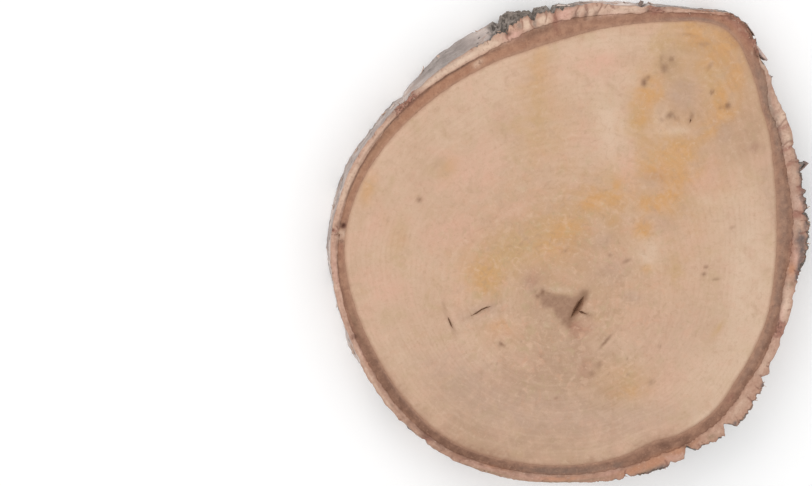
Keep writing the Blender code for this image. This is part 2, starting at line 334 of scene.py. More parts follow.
# Stains of the sawn bark, with painted shade in the sunken ring among the brown ones: angle, distance
# outside the wood in mm, half width in degrees, half width in mm and strength.
RIM_STAINS = {
    "dull": (
        (288, 8, 16, 5, 1), (268, 5.4, 12, 2, 0.6), (250, 7, 22, 3, 0.6), (320, 10, 14, 4, 0.5),
        (8, 12, 12, 4, 0.3), (222, 7, 14, 3, 0.4),
    ),
    "pale": (
        (82, 10.4, 4, 1.8, 0.4), (30, 7.8, 5, 1.6, 0.3), (4.2, 10.8, 1.6, 1.4, 0.4),
        (10.2, 10.6, 1.8, 1.4, 0.5), (16.2, 10, 1.6, 1.6, 0.4), (53.8, 6.9, 0.5, 0.6, 1),
        (51.7, 4.7, 0.4, 0.6, 0.9), (48.2, 7.6, 0.5, 0.5, 1), (50.4, 6.6, 0.4, 0.5, 0.7),
        (46.3, 3.8, 0.4, 0.5, 0.6), (55.2, 5, 0.4, 0.4, 0.6), (88, 11.4, 0.8, 1.6, 0.5),
        (25.6, 9.2, 1.3, 1.7, 0.6), (31, 9, 1.8, 1.6, 0.7), (30, 6.2, 1.6, 0.5, 0.7),
        (43.4, 6.9, 1.3, 0.9, 1), (57.6, 7.4, 2.2, 0.9, 0.9), (77.5, 7.6, 4.2, 1.5, 0.8),
        (85, 9.6, 0.9, 1.8, 0.6), (96.9, 11.4, 1.6, 2.1, 1), (101.4, 12.4, 1.2, 2.2, 1),
        (112.6, 8.9, 4.4, 1.9, 1), (121, 7.9, 6, 1.6, 1), (129, 7.7, 5, 1.2, 0.9),
        (116.8, 3.2, 1.4, 1.2, 1), (150, 6, 7, 1.2, 0.6), (164, 5.6, 6.5, 1.4, 0.8),
        (176.8, 2, 1.3, 2, 1), (189.6, 6.4, 1, 0.6, 0.6), (207.6, 6.8, 1.7, 0.6, 0.5),
        (217, 8, 7, 0.6, 0.5), (343.8, 7.8, 4, 1.7, 0.8), (329, 8, 3, 1.5, 0.4),
        (316.5, 9, 3.4, 2.2, 0.4), (308, 9.4, 1.6, 1.8, 0.3),
    ),
    "pink": (
        (91.6, 12, 1.7, 2.6, 1), (105.4, 9.4, 2.4, 1.8, 1), (9.6, 11, 2.6, 2.2, 0.5),
        (207.8, 6, 2.2, 0.9, 0.6), (248.8, 5.4, 3.6, 1, 0.6), (296.4, 10.6, 2.4, 1.6, 0.5),
        (356.4, 10.4, 2.4, 1.6, 0.7), (341, 7, 3, 1.2, 0.5), (47.4, 7.2, 1.2, 1.4, 0.6),
        (53.2, 6.2, 1.2, 1.6, 0.5), (186, 5.4, 4, 1, 0.5), (262, 6.4, 5, 1, 0.4),
        (281, 6.6, 3, 1.2, 0.5), (80, 6.6, 2.6, 1, 0.4), (59, 7, 2, 0.7, 0.5),
    ),
    "orange": (
        (137, 2.8, 34, 2.8, 0.4), (52, 3, 7, 2.6, 0.4), (353.2, 8.2, 1.3, 1.9, 1),
        (285.4, 8.4, 3, 2, 0.8), (291.6, 9.6, 3.2, 2.4, 0.8), (297.6, 7.8, 2, 1.8, 0.9),
        (268.6, 6.4, 5.4, 1.2, 0.8), (251.6, 4.8, 4.2, 0.8, 0.8), (209.6, 6, 1.8, 0.8, 0.5),
        (243, 5, 3, 0.8, 0.5), (302, 7.4, 1.6, 1.2, 0.5),
    ),
    "olive": (
        (306.6, 9.4, 0.8, 1.2, 0.8), (349.4, 9.2, 0.8, 1.3, 0.7), (251, 7.8, 5, 0.5, 0.8),
        (271, 8.2, 8, 0.5, 0.7), (288, 12.6, 3.6, 1, 0.7), (233, 7.9, 4, 0.5, 0.6),
        (51.2, 8.8, 4.2, 0.8, 1), (24, 10.6, 3.4, 0.5, 0.6), (152, 2.6, 6, 1.6, 0.3),
        (200, 3, 4, 1.4, 0.4), (33, 4, 4, 1.2, 0.4),
    ),
    "grey": (
        (10, 9.6, 8, 2.6, 0.35), (267, 2.6, 8, 1.8, 1), (276, 3.4, 5, 1.4, 0.6),
        (282.8, 3.6, 1.3, 1.6, 0.8), (28, 4, 7, 2.2, 0.6), (39, 3.6, 6, 2.6, 0.7),
        (8, 3.6, 9, 2.6, 0.5), (60.6, 1.2, 6, 0.9, 0.7), (99.2, 12, 0.5, 2.8, 1),
        (103.2, 13.2, 0.6, 1.6, 0.9), (92, 15.2, 5, 0.7, 0.8), (117, 12, 5, 1.3, 0.9),
        (127, 10.8, 7, 1.2, 1), (136, 9.6, 5, 1.2, 0.8), (143, 8.8, 2.4, 1.2, 0.8),
        (69, 7.2, 4, 0.8, 0.6), (39, 9, 3, 0.8, 0.5), (330, 2.4, 14, 1.6, 0.4), (350, 3, 8, 2, 0.4),
        (222, 1.2, 12, 0.8, 0.3),
    ),
    "slate": (
        (0.6, 12.4, 1.6, 3, 1), (357.4, 13, 2.4, 1.8, 1), (11, 14.2, 1.2, 1.6, 0.8),
        (354, 12.2, 2, 1.2, 1), (351.6, 11.3, 1.2, 0.8, 1), (13, 13.8, 1.7, 1.2, 1),
        (8.6, 14, 2, 0.9, 0.8), (4, 14.8, 1.8, 1, 0.8), (17, 13.2, 2.4, 0.8, 0.8),
        (21, 11.8, 3, 0.6, 0.6), (289, 13.4, 4, 0.8, 0.9), (293, 14.2, 2, 0.8, 0.8),
        (324.2, 12.8, 0.8, 0.8, 1), (312.6, 12.6, 0.8, 0.8, 0.9),
    ),
    "red": (
        (7, 10.4, 0.8, 3.2, 0.9), (13.2, 12.4, 0.6, 2.2, 0.8), (19.7, 8, 0.4, 2.4, 0.7),
        (23.4, 8, 0.45, 2.8, 0.9), (28.4, 8, 0.45, 3.2, 0.9), (32.4, 8, 0.3, 2.2, 0.5),
        (51.6, 5.4, 5, 2.2, 0.8), (62.6, 3.6, 5, 1.4, 0.5), (70, 5.4, 1.2, 1.8, 0.9),
        (93.9, 9.6, 0.7, 4.2, 0.9), (138, 6.6, 2.8, 1.7, 1), (234, 6.4, 0.9, 2.6, 0.9),
        (337.6, 7.4, 2, 2.3, 0.9), (178.4, 1.6, 3, 0.8, 0.5), (358, 7.6, 2.6, 1.4, 0.6),
        (200, 4.4, 5, 0.8, 0.4), (316.4, 2.6, 1.6, 1.6, 0.5), (243, 6.2, 1.2, 0.8, 0.4),
    ),
    # Dark brown bark, and painted shade in the sunken ring: the broad patches on its inner side from
    # about 205 to 290 degrees and the thin lines along its outer edge from about 120 to 190 degrees.
    "brown": (
        (268, 2.4, 14, 2.4, 0.5), (288, 2.6, 9, 3, 0.5), (288, 5.6, 5, 1.6, 0.3),
        (246, 2.2, 10, 2.4, 0.5), (98.5, 7.2, 5, 1.6, 0.4), (207, 3.6, 6, 2, 0.7),
        (219, 3, 9, 2.2, 0.9), (232, 3.2, 6, 2.2, 0.8), (243, 3, 8, 2.2, 1), (254, 3.2, 5, 1.8, 0.7),
        (300.6, 5.2, 1.8, 2.4, 1), (296, 3.4, 2.6, 3, 1), (288.6, 5, 3, 1.5, 0.7),
        (202.6, 5, 0.8, 1.2, 1), (3, 6, 9, 1.3, 0.5), (18, 5.2, 6, 1, 0.5), (98.6, 7.4, 3.6, 1.3, 0.7),
        (83.8, 8.2, 0.45, 1.8, 0.8), (86.3, 8.8, 0.45, 2.2, 0.9), (88.7, 9.4, 0.6, 2.2, 0.8),
        (106.3, 10.6, 0.8, 0.9, 1), (141, 5.4, 14, 0.5, 0.9), (122, 5.3, 12, 0.45, 0.9),
        (160, 4, 14, 0.5, 0.8), (188, 3.8, 10, 0.5, 0.5), (174.5, 2.4, 0.8, 2, 1),
        (178.5, 1.8, 0.3, 2, 0.6), (320, 4.6, 8, 1.2, 0.7), (337, 4.9, 9, 1.2, 0.7),
        (308, 3.2, 5, 2, 0.5), (45.6, 6, 0.9, 1.3, 1), (54.6, 6, 0.5, 0.6, 0.9),
        (47.4, 7.9, 0.5, 0.6, 0.9), (52.8, 5.8, 0.4, 0.5, 0.6), (48.6, 7.6, 0.35, 1.6, 0.8),
        (71.6, 7.6, 0.5, 1.6, 0.8), (352, 4.8, 5, 1.2, 0.6), (27.6, 5.2, 2, 0.7, 0.4),
        (261, 6, 1.2, 0.8, 0.4),
    ),
}


def along_rim(angles, places):
    """How strongly soft places along the rim cover each angle."""
    return np.max([
        strength * hump(turn_between(angles, middle), half_width)
        for middle, half_width, strength in places
    ], axis=0)


def rim_masks(angles, outward):
    """The masks of RIM_STAINS at angles and distances outside the wood, with ragged edges."""
    ragged = 0.7 * Noise(35).round_log(angles, outward, 3.5 * MM, 2 * MM, 3)
    masks = {}
    for name, places in RIM_STAINS.items():
        total = np.zeros(len(angles))
        for middle, level, half_width, half_height, strength in places:
            turn = turn_between(angles, middle) / half_width
            rise = (outward / MM - level) / half_height
            distance = (turn**2 + rise**2) * np.clip(1 + ragged, 0.4, 2)
            cover = strength * np.minimum(1.3 * np.exp(-0.9 * distance), 1)
            total = total + cover - total * cover
        masks[name] = total
    return masks


def cracks_at(angles, share):
    """The radial cracks of the sawn outer bark, from 0 to 1. Cork has the longest ones."""
    crack = np.zeros(len(angles))
    random = np.random.default_rng(31)
    small = []
    for _ in range(SMALL_CRACKS):
        middle = random.uniform(0, 360)
        reach = random.uniform(0.15, 0.35) + random.uniform(0, 0.5) * float(corky(middle))
        small.append((middle, random.uniform(0.15, 0.32), reach))
    for middle, half_width, reach in CRACKS + tuple(small):
        wander = 0.4 * math.sin(4 * share + middle)
        narrow = 1.3 * half_width * (0.45 + 0.55 * share)
        line = hump(turn_between(angles, middle + wander), narrow)
        crack = np.maximum(crack, line * ease(share, 0.9 - reach, 1.15 - reach))
    return crack


def broken_at(angles, share):
    """Where the sawn outer bark is gone and the brown layer under it shows, with ragged ends."""
    ragged = Noise(32).round_log(angles, share * 5 * MM, 1.7 * MM, 2 * MM, 2)
    edges = [
        strength * ease(half_width - np.abs(turn_between(angles, middle)) + 1.2 * ragged, -0.2, 0.7)
        for middle, half_width, strength in BROKEN
    ]
    return np.max(edges, axis=0) * ease(ragged, -0.75, -0.3)


def sawn_bark(angles, share):
    """The drop below the face over the sawn outer bark, and its masks. share is 0 inside, 1 outside."""
    cork = corky(angles)
    crack, broken = cracks_at(angles, share), broken_at(angles, share)
    lumps = Noise(33).round_log(angles, share * 6 * MM, 2.6 * MM, 2.0 * MM, 3)
    layers = Noise(34).round_log(angles, share * 6 * MM, 11 * MM, 0.55 * MM, 2)
    level = 0.6 * lumps + 0.7 * layers * (1.1 - cork)
    rounding = (0.25 + 0.75 * cork) * ease(share, 0.78, 1.0) * (0.5 + 0.5 * lumps)
    inner_fall = 0.25 * ease(share, 0.16, 0.0)
    fall = broken * (0.55 + 0.5 * lumps) + 0.16 * level + 0.7 * rounding + inner_fall
    drop = CRACK_DEPTH * crack + MM * fall
    return drop, {"crack": crack, "broken": broken, "level": level}


def to_world(angles, radius, height):
    """Points in the frame for polar coordinates about the middle of the face."""
    turn = np.radians(angles)
    x, y, z = np.broadcast_arrays(radius * np.cos(turn), radius * np.sin(turn), height)
    return np.stack([x, y, z], axis=-1) + CENTRE


def add_object(name, data):
    obj = bpy.data.objects.new(name, data)
    bpy.context.scene.collection.objects.link(obj)
    return obj


def smooth_mesh(name, points, faces):
    mesh = bpy.data.meshes.new(name)
    mesh.from_pydata(points.tolist(), [], faces.tolist())
    mesh.validate()
    mesh.shade_smooth()
    return add_object(name, mesh)


def set_mask(obj, name, values):
    """Stores one number a point, which the materials read as an attribute."""
    layer = obj.data.attributes.new(name, "FLOAT", "POINT")
    layer.data.foreach_set("value", np.asarray(values, np.float32).ravel())


def read(items, field, width, kind=np.float32):
    """One field of all points, faces or corners of a mesh, with a row of this width for each."""
    values = np.empty(len(items) * width, kind)
    items.foreach_get(field, values)
    return values.reshape(-1, width)


def points_of(obj):
    return read(obj.data.vertices, "co", 3).astype(float)


BAKE_MAP = "OFBake"


def set_map(obj, uv):
    """Gives the corners of obj their places in the bake's map."""
    layer = obj.data.uv_layers.new(name=BAKE_MAP)
    layer.data.foreach_set("uv", uv.astype(np.float32).ravel())


# The bake's map of a band: its strips, each with a free edge.
UV_STRIPS = 5
UV_EDGE = 0.012
ROUNDING = 1e-9


def closed_band(name, tracks):
    """A ring-shaped solid. tracks holds the points of its section, in order, at every angle."""
    section, around = tracks.shape[:2]
    index = np.arange(section * around).reshape(section, around)
    here, after = index, np.roll(index, -1, axis=1)
    faces = np.stack([here, after, np.roll(after, -1, axis=0), np.roll(here, -1, axis=0)], axis=-1)
    obj = smooth_mesh(name, tracks.reshape(-1, 3), faces.reshape(-1, 4))
    lengths = np.linalg.norm(np.roll(tracks, -1, axis=0) - tracks, axis=-1).mean(axis=1)
    along = np.concatenate([[0], np.cumsum(lengths)]) / lengths.sum()
    step = UV_STRIPS / around
    start = np.arange(around) * step
    strip = np.floor(start + ROUNDING)
    left, right = start - strip, start - strip + step
    u = np.broadcast_to(np.stack([left, right, right, left], axis=-1), (section, around, 4))
    up = np.stack([along[:-1], along[:-1], along[1:], along[1:]], axis=-1)[:, None, :]
    v = (strip[None, :, None] + UV_EDGE + (1 - 2 * UV_EDGE) * up) / UV_STRIPS
    uv = np.stack([UV_EDGE + (1 - 2 * UV_EDGE) * u, np.broadcast_to(v, u.shape)], axis=-1)
    set_map(obj, uv)
    return obj


# Soft stains of the sawn wood, each with its middle, half width and half height in mm from the middle
# of the face, its turn in degrees and its strength.
STAINS = {
    "warm": (
        (10, 22, 28, 14, 10, 0.9), (-14, -4, 40, 24, 0, 0.9), (-10, 66, 17, 26, 0, 0.6),
        (59, 70, 30, 44, -8, 1), (82, 78, 16, 30, 14, 0.8), (62, 22, 22, 16, 0, 0.8),
        (-26, 4, 20, 12, 22, 0.7), (-42, -14, 10, 10, 0, 0.6), (8, -10, 34, 22, 0, 0.4),
        (56, 44, 20, 16, 0, 0.7), (25, -68, 18, 9, 0, 0.7), (-30, -46, 16, 8, 0, 0.6),
        (30, -30, 40, 26, 0, 0.4), (-2, 20, 12, 6, 0, 0.6),
    ),
    "pale": (
        (22, 58, 8, 20, 8, 0.9), (22, 100, 14, 5, 0, 0.8), (37, 100, 9, 5, 0, 0.5),
        (80, 14, 11, 9, 0, 0.45), (24, -52, 8, 8, 0, 0.3), (26, 84, 13, 7, 0, 0.5),
        (4, 86, 12, 14, 0, 0.7), (-62, 60, 14, 12, 30, 0.35), (70, -90, 9, 6, 40, 0.9),
        (86, -38, 8, 16, 0, 0.5), (50, 42, 8, 7, 0, 0.4), (52, 57, 10, 2.6, 0, 1),
        (45, 65, 4, 6, 0, 0.7), (92, -14, 11, 38, 4, 0.9), (76, -64, 22, 13, 42, 0.7),
        (40, -4, 6, 7, 0, 0.9), (-40, 78, 18, 9, 40, 0.5), (-88, -50, 9, 18, 20, 0.3),
        (10, 100, 18, 4, 8, 0.5), (-5, -22.6, 8, 1.3, -4, 1), (-12, -37, 6, 3, -30, 0.5),
        (70, 21.8, 6, 3, 0, 0.5), (-2, -49.6, 6, 1.2, 10, 0.6),
    ),
    "pink": (
        (13.6, 91, 11, 7, 0, 1), (-57, 8, 14, 8, 10, 0.9), (-50, 34, 12, 9, 10, 0.7),
        (-92, -20, 8, 8, 0, 0.7), (-28, 18, 10, 5, 20, 0.6), (45, -72, 9, 7, 0, 0.6),
        (10, -42, 6, 4, 0, 0.9), (72, 38, 3.4, 9, 0, 0.9), (64, 30, 8, 5, 0, 0.7),
        (29, 39, 4.5, 11, 0, 0.8), (-98, 14, 4, 8, 0, 0.6), (-24, -60, 12, 5, 0, 0.5),
        (-12, 86, 14, 6, 10, 0.4), (40, -40, 14, 10, 0, 0.4), (9, -62, 4.5, 9, 0, 0.8),
        (-33, -41, 6, 5, 0, 0.6), (52, -64, 3, 8, 0, 0.5), (24, -9.5, 7, 5, 0, 0.5),
    ),
    # Grey stains: the large ones low on the face are partly greyish wood and partly painted shade that
    # darkens the face towards the bottom.
    "grey": (
        (56.5, 76, 8.5, 8.5, -10, 1), (77.5, 55.5, 4.2, 5.4, 0, 1), (17, 2, 5, 3.6, 20, 0.8),
        (32, -27, 6, 3.4, 0, 0.8), (-19, -20, 5, 7, 30, 0.7), (-44, -33, 12, 5, 20, 0.8),
        (-48, -72, 24, 15, -30, 0.9), (-20, -84, 22, 14, 0, 0.9), (14, -88, 40, 13, 0, 0.8),
        (4, -64, 18, 14, 0, 0.5), (46, 10, 7, 4, 0, 0.5), (102, 30, 5, 20, 8, 0.6),
        (76, 46, 9, 6, 0, 0.4), (22, -14, 13, 8, 0, 0.7), (50, -46, 26, 16, 30, 0.4),
        (94, 48, 3, 2.4, 0, 0.6),
    ),
    "olive": (
        (34.2, 62, 5.4, 9, 4, 1), (50, 96, 9, 10, 20, 1), (60, 101, 12, 7, 0, 0.7),
        (73, 84, 7, 11, 0, 0.8), (50, 47, 13, 7, 0, 0.6), (-20, 1, 12, 7, 20, 1),
        (-40, -15, 8, 9, -20, 1), (-30, -4, 9, 8, 30, 1), (4, 13, 16, 6, 10, 0.6),
        (-8, 5, 8, 5, 0, 0.7), (54.4, -14, 4, 5, 0, 0.9), (76, -44, 1.6, 4.5, -35, 1),
        (26, -70, 13, 9, 0, 0.7), (15, -37.6, 2.6, 1.8, 0, 0.7), (-18, 74, 7, 18, 0, 0.6),
        (-20, 50, 9, 14, 0, 0.4), (-86, 4, 6, 12, 0, 0.5), (20, 30, 4, 9, 0, 0.6),
    ),
    "umber": (
        (-5, -42, 27, 25, 0, 0.75), (84, 96, 8, 8, 0, 0.5), (-16, -66, 26, 12, 10, 0.7),
        (14, -80, 16, 8, 0, 0.45), (76, 98, 14, 8, -20, 0.5), (-4, -61, 12, 9, 0, 1),
        (14, -32, 9, 12, 0, 0.3), (-20, -103, 46, 9, 0, 0.8), (-50, -96, 15, 8, -32, 0.8),
        (14, 2, 16, 24, 0, 0.25), (85, 90, 9, 14, 20, 0.55), (78, 62, 13, 10, 0, 0.6),
        (-58, -76, 12, 10, 0, 0.3), (93, 68, 6, 16, 0, 0.3), (86, 11, 6, 8, 0, 0.25),
        (-40, 14, 40, 16, 0, 0.12), (90, 53, 7, 12, -12, 0.7), (50, 92, 5, 7, 0, 0.8),
        (22, -74, 10, 8, 0, 0.5), (62, 97, 9, 4, 0, 0.4), (-12, -30, 9, 8, 0, 0.4),
        (3, -45, 8, 5, 0, 0.5), (46, 34, 6, 4, 0, 0.5), (0, 2, 10, 5, 0, 0.4),
    ),
    "orange": (
        (39, 76, 5.4, 8, -14, 1), (36, 66, 5, 9, 4, 0.7), (45, 76, 1.8, 4, 0, 0.7),
        (77.5, 74, 6, 8, -8, 1), (75.5, 64.5, 6, 3, 0, 1), (70.6, 58, 4, 5, -30, 0.9),
        (80, 100, 8, 11, -35, 1), (66, 105, 12, 5.5, -5, 1), (83, 88, 5, 9, 15, 0.9),
        (70, 94, 9, 6, 0, 0.5), (52, 44, 13, 9, 8, 0.9), (44, 36, 9, 4.5, -10, 1),
        (55, 33, 7, 5, 0, 0.9), (53, 26.5, 6, 4, 0, 0.9), (43, 20.5, 9, 5, 0, 0.9),
        (24, 26, 4, 8, 0, 0.9), (13, 22, 8, 5, 0, 1), (-1, 8, 9, 5, 10, 0.8), (37, 7, 5, 4.4, 0, 1),
        (40, -12.4, 3, 2, 0, 0.6), (-43, -16, 9, 9, -20, 0.65), (-8, 0, 10, 6, 0, 0.6),
        (-33, -41, 6, 3.5, 0, 0.5), (-61, 40, 4, 4.5, 0, 0.5), (-101, 30, 3.4, 9, -14, 0.6),
        (32, -76, 8, 4, 0, 0.5), (-16, 88, 5, 12, 0, 0.4),
    ),
    "rust": (
        (3.4, -41, 4.6, 3.4, 0, 1), (6.4, -45, 4, 3.4, 0, 0.6), (-18.6, -17, 3, 4, 0, 0.6),
        (5.2, -31.5, 2.6, 5, -24, 0.8), (8, -62, 3, 8, 0, 0.3), (43, 34, 5, 2.4, 0, 0.4),
        (94, 48, 2.6, 2, 0, 0.4),
    ),
}
HEART = (
    (-14.2, -25), (-2.1, -25.6), (4.8, -26.4), (7.8, -26), (5.3, -31.2), (2.5, -36.3), (1, -39.5),
    (-1.2, -41.4), (-3.8, -38.2), (-6.8, -36), (-8.4, -32.4), (-13.6, -32.2),
)
HEART_DEPTH = 0.5 * MM
SPOTS = (
    (37, 81.2, 1.3, 1.9, 0, 1), (39, 83.8, 1.2, 1.1, 30, 0.7), (46.9, 88.3, 1.5, 2, 0, 0.7),
    (45.6, 93, 0.9, 3, -8, 0.4), (50.7, 92.9, 1.3, 1.1, 0, 0.7), (71.4, 76.3, 1.2, 1.2, 0, 0.9),
    (79.4, 69.6, 1.2, 1.3, 0, 0.9), (75.8, 68.4, 1, 0.9, 0, 0.5), (50.2, 65, 2, 1.1, 35, 0.8),
    (52.8, 63.7, 2.4, 0.9, -20, 0.6), (46, 62.4, 1.4, 0.8, -30, 0.4), (70.4, 89.6, 0.8, 2.2, -40, 0.5),
    (66.8, 100.5, 3, 0.8, 0, 0.4), (59.1, 105, 3, 0.8, -10, 0.3), (69.6, -11.9, 1, 0.9, 10, 0.9),
    (68.6, -15.5, 1.1, 0.9, 0, 0.9), (74.8, -18.1, 2, 0.7, 0, 0.6), (-34, -49.9, 1.2, 0.8, -20, 1),
    (-31.8, -50.6, 0.7, 0.6, 0, 0.6), (-75.2, 23.4, 1.1, 1.2, 0, 0.8), (29.4, -8.4, 2.2, 0.9, 25, 0.6),
    (20.8, -5.3, 1, 1, 0, 0.6), (-2, -3, 1.6, 0.8, 20, 0.5), (4.4, -32.2, 2, 6.2, -28, 1),
    (8, -25.6, 1.8, 2.2, -24, 0.8), (-59.3, -39.4, 1, 4.6, 22, 0.5), (-62.6, -31, 0.8, 5, 12, 0.25),
    (-44.2, -33, 7.6, 0.9, 24, 0.45), (18.4, -50, 0.6, 3.2, -42, 0.8), (61, 63.4, 1.1, 2.4, -18, 0.6),
    (-24, -49, 0.7, 0.5, 0, 0.5), (8, -62, 0.6, 0.9, 0, 0.5), (30, -58, 0.5, 0.8, 0, 0.5),
    (-36, -60, 0.6, 0.5, 0, 0.4), (-6, -78, 0.8, 0.6, 0, 0.5), (21, -66, 0.9, 0.6, 0, 0.5),
    (44, -70, 0.6, 0.6, 0, 0.4), (-14, -56, 0.5, 1, 30, 0.4), (20.6, -47.4, 0.6, 2.4, -38, 0.5),
    (9, -35.2, 2.4, 0.9, -20, 0.8), (7.8, -27, 1.4, 1.6, 0, 0.8), (1.4, -37.4, 1.7, 1.6, 0, 0.7),
    (-9.8, -24.4, 2.6, 0.8, -6, 0.6), (-13.2, -23.7, 1.3, 1.7, -10, 1),
    (-15.5, -25.7, 1.2, 1.2, 0, 0.9), (-17, -23.3, 1.4, 0.8, 20, 0.5), (0.6, -40.6, 1.4, 2, -20, 0.6),
    (-3, -40, 1.3, 0.9, -30, 0.5), (46.6, -52, 0.9, 0.8, 0, 0.6), (18.4, -50, 0.7, 4, -42, 0.5),
    (16, -61, 1.6, 1.1, 40, 0.5), (12, -65.6, 1.1, 1.6, 30, 0.5), (30.4, -66.4, 0.8, 0.9, 0, 0.5),
    (42.4, -70.8, 1, 1.6, -30, 0.4), (83, 8, 1.4, 0.7, 20, 0.4),
)


def stain(x, y, spots, ragged):
    """How strongly soft spots cover each point. ragged moves their edges in and out."""
    total = np.zeros_like(x)
    for middle_x, middle_y, half_x, half_y, turn, strength in spots:
        c, s = math.cos(math.radians(turn)), math.sin(math.radians(turn))
        dx, dy = x / MM - middle_x, y / MM - middle_y
        across, along = (dx * c + dy * s) / half_x, (dy * c - dx * s) / half_y
        distance = (across**2 + along**2) * np.clip(1 + ragged, 0.3, 2)
        cover = strength * np.minimum(1.25 * np.exp(-1.0 * distance), 1)
        total = total + cover - total * cover
    return total


def inside_polygon(x, y, corners):
    """The distance inside a closed outline, negative outside it."""
    nearest = np.full(x.shape, np.inf)
    inside = np.zeros(x.shape, bool)
    for (ax, ay), (bx, by) in zip(corners, corners[1:] + corners[:1]):
        ax, ay, bx, by = ax * MM, ay * MM, bx * MM, by * MM
        share = ((x - ax) * (bx - ax) + (y - ay) * (by - ay)) / ((bx - ax) ** 2 + (by - ay) ** 2)
        share = np.clip(share, 0, 1)
        nearest = np.minimum(nearest, np.hypot(x - ax - share * (bx - ax), y - ay - share * (by - ay)))
        crosses = (ay > y) != (by > y)
        rise = np.where(by == ay, 1.0, by - ay)
        inside ^= crosses & (x < (bx - ax) * (y - ay) / rise + ax)
    return np.where(inside, nearest, -nearest)


def growth(x, y):
    """0 at the pith and 1 at the bark, along rings that are round inside and follow the bark outside."""
    dx, dy = x - PITH[0], y - PITH[1]
    reach = np.hypot(dx, dy)
    turn = np.arctan2(dy, dx)
    steps = np.radians(np.arange(0, 360, 2.0))
    edge_angles = np.arange(0, 360, 1.0)
    edge = wood_edge(edge_angles)
    edge_x = edge * np.cos(np.radians(edge_angles)) - PITH[0]
    edge_y = edge * np.sin(np.radians(edge_angles)) - PITH[1]
    order = np.argsort(np.arctan2(edge_y, edge_x))
    edge_turn, edge_reach = np.arctan2(edge_y, edge_x)[order], np.hypot(edge_x, edge_y)[order]
    full = np.interp(turn, edge_turn, edge_reach, period=2 * math.pi)
    mean = np.interp(steps, edge_turn, edge_reach, period=2 * math.pi).mean()
    share = reach / full
    follow = ease(share, 0.1, 0.9)
    return share * follow + reach / mean * (1 - follow)


def wood_masks(x, y):
    """The masks of the sawn wood at points given from the middle of the face."""
    ragged = 0.3 * Noise(41).flat(x, y, 9 * MM, 4)
    ring = growth(x, y)
    knot = np.hypot(x - KNOT[0], (y - KNOT[1]) * 0.9) / (34 * MM)
    bend = 0.10 * hump(knot, 1.6) * np.sin(6 * np.arctan2(y - KNOT[1], x - KNOT[0]) + 9 * knot)
    ring = ring + 0.035 * hump(knot, 1.7) + 0.05 * bend
    ring = ring + 0.006 * Noise(42).flat(x, y, 14 * MM, 2)
    masks = {name: stain(x, y, spots, 2.0 * ragged) for name, spots in STAINS.items()}
    masks["ring"] = ring
    masks["heart"] = ease(inside_polygon(x, y, HEART) + 1.6 * MM * ragged, -1.1 * MM, 1.3 * MM)
    masks["spot"] = stain(x, y, SPOTS, 1.6 * ragged)
    return masks


FACE_CELLS = 206
WALL_HEIGHTS = np.array([0.35, 0.65]) * THICKNESS
# The outer tenth of the grid's cells is packed into the outermost 3% of the radius.
FINE_FROM, FINE_RADIUS = 0.9, 0.97
EDGE_DROP, EDGE_WIDTH = 0.55 * MM, 2.2 * MM
FACE_WAVES = 0.1 * MM
# How far the lower face lies above the solid's lower plane, on average.
LOWER_FACE = 0.1 * MM


def round_grid(cells):
    """A square grid bent into a disc: each point's share of the radius, and its angle."""
    a, b = np.meshgrid(np.linspace(-1, 1, cells + 1), np.linspace(-1, 1, cells + 1), indexing="ij")
    wide = np.abs(a) > np.abs(b)
    with np.errstate(divide="ignore", invalid="ignore"):
        share = np.where(wide, a, b)
        turn = np.where(wide, 45 * b / a, 90 - 45 * a / b)
    turn = np.where(share == 0, 0, turn)
    angles = np.where(share < 0, turn + 180, turn)
    share = np.interp(np.abs(share), [0, FINE_FROM, 1], [0, FINE_RADIUS, 1])
    return share, np.mod(angles, 360)


def face_relief(x, y):
    """The slight waves that the saw and drying leave in a face, at most 0.2 mm."""
    return FACE_WAVES * Noise(43).flat(x, y, 35 * MM, 2)


def edge_fall(distance):
    """How far the face falls away at this distance inside its edge."""
    return EDGE_DROP * np.clip(1 - distance / EDGE_WIDTH, 0, 1) ** 2


def wood_solid():
    """The wood as a closed disc with a fine grid on both faces, before its checks are cut."""
    share, angles = round_grid(FACE_CELLS)
    edge = wood_edge(angles)
    upper = to_world(angles, share * edge, THICKNESS)
    lower = to_world(angles, share * wood_edge(angles, upper=False), 0)
    fall = edge_fall((1 - share) * edge)
    upper[..., 2] += face_relief(upper[..., 0], upper[..., 1]) - fall
    lower[..., 2] += LOWER_FACE + face_relief(lower[..., 1], lower[..., 0]) + fall
    x, y = upper[..., 0] - CENTRE[0], upper[..., 1] - CENTRE[1]
    upper[..., 2] -= HEART_DEPTH * wood_masks(x, y)["heart"]
    count = (FACE_CELLS + 1) ** 2
    index = np.arange(count).reshape(FACE_CELLS + 1, FACE_CELLS + 1)
    quads = np.stack([index[:-1, :-1], index[1:, :-1], index[1:, 1:], index[:-1, 1:]], axis=-1)
    quads = quads.reshape(-1, 4)
    edge_loop = np.concatenate([index[:-1, 0], index[-1, :-1], index[:0:-1, -1], index[0, :0:-1]])
    points = [upper.reshape(-1, 3), lower.reshape(-1, 3)]
    faces = [quads, quads[:, ::-1] + count]
    loops = [edge_loop + count]
    low_points = lower.reshape(-1, 3)[edge_loop]
    high_points = upper.reshape(-1, 3)[edge_loop]
    for height in WALL_HEIGHTS:
        middle = low_points + (high_points - low_points) * (height / THICKNESS)
        loops.append(sum(len(p) for p in points) + np.arange(len(edge_loop)))
        points.append(middle)
    loops.append(edge_loop)
    for low, high in zip(loops, loops[1:]):
        faces.append(np.stack([low, np.roll(low, -1), np.roll(high, -1), high], axis=-1))
    return smooth_mesh("sawn_wood", np.concatenate(points), np.concatenate(faces))


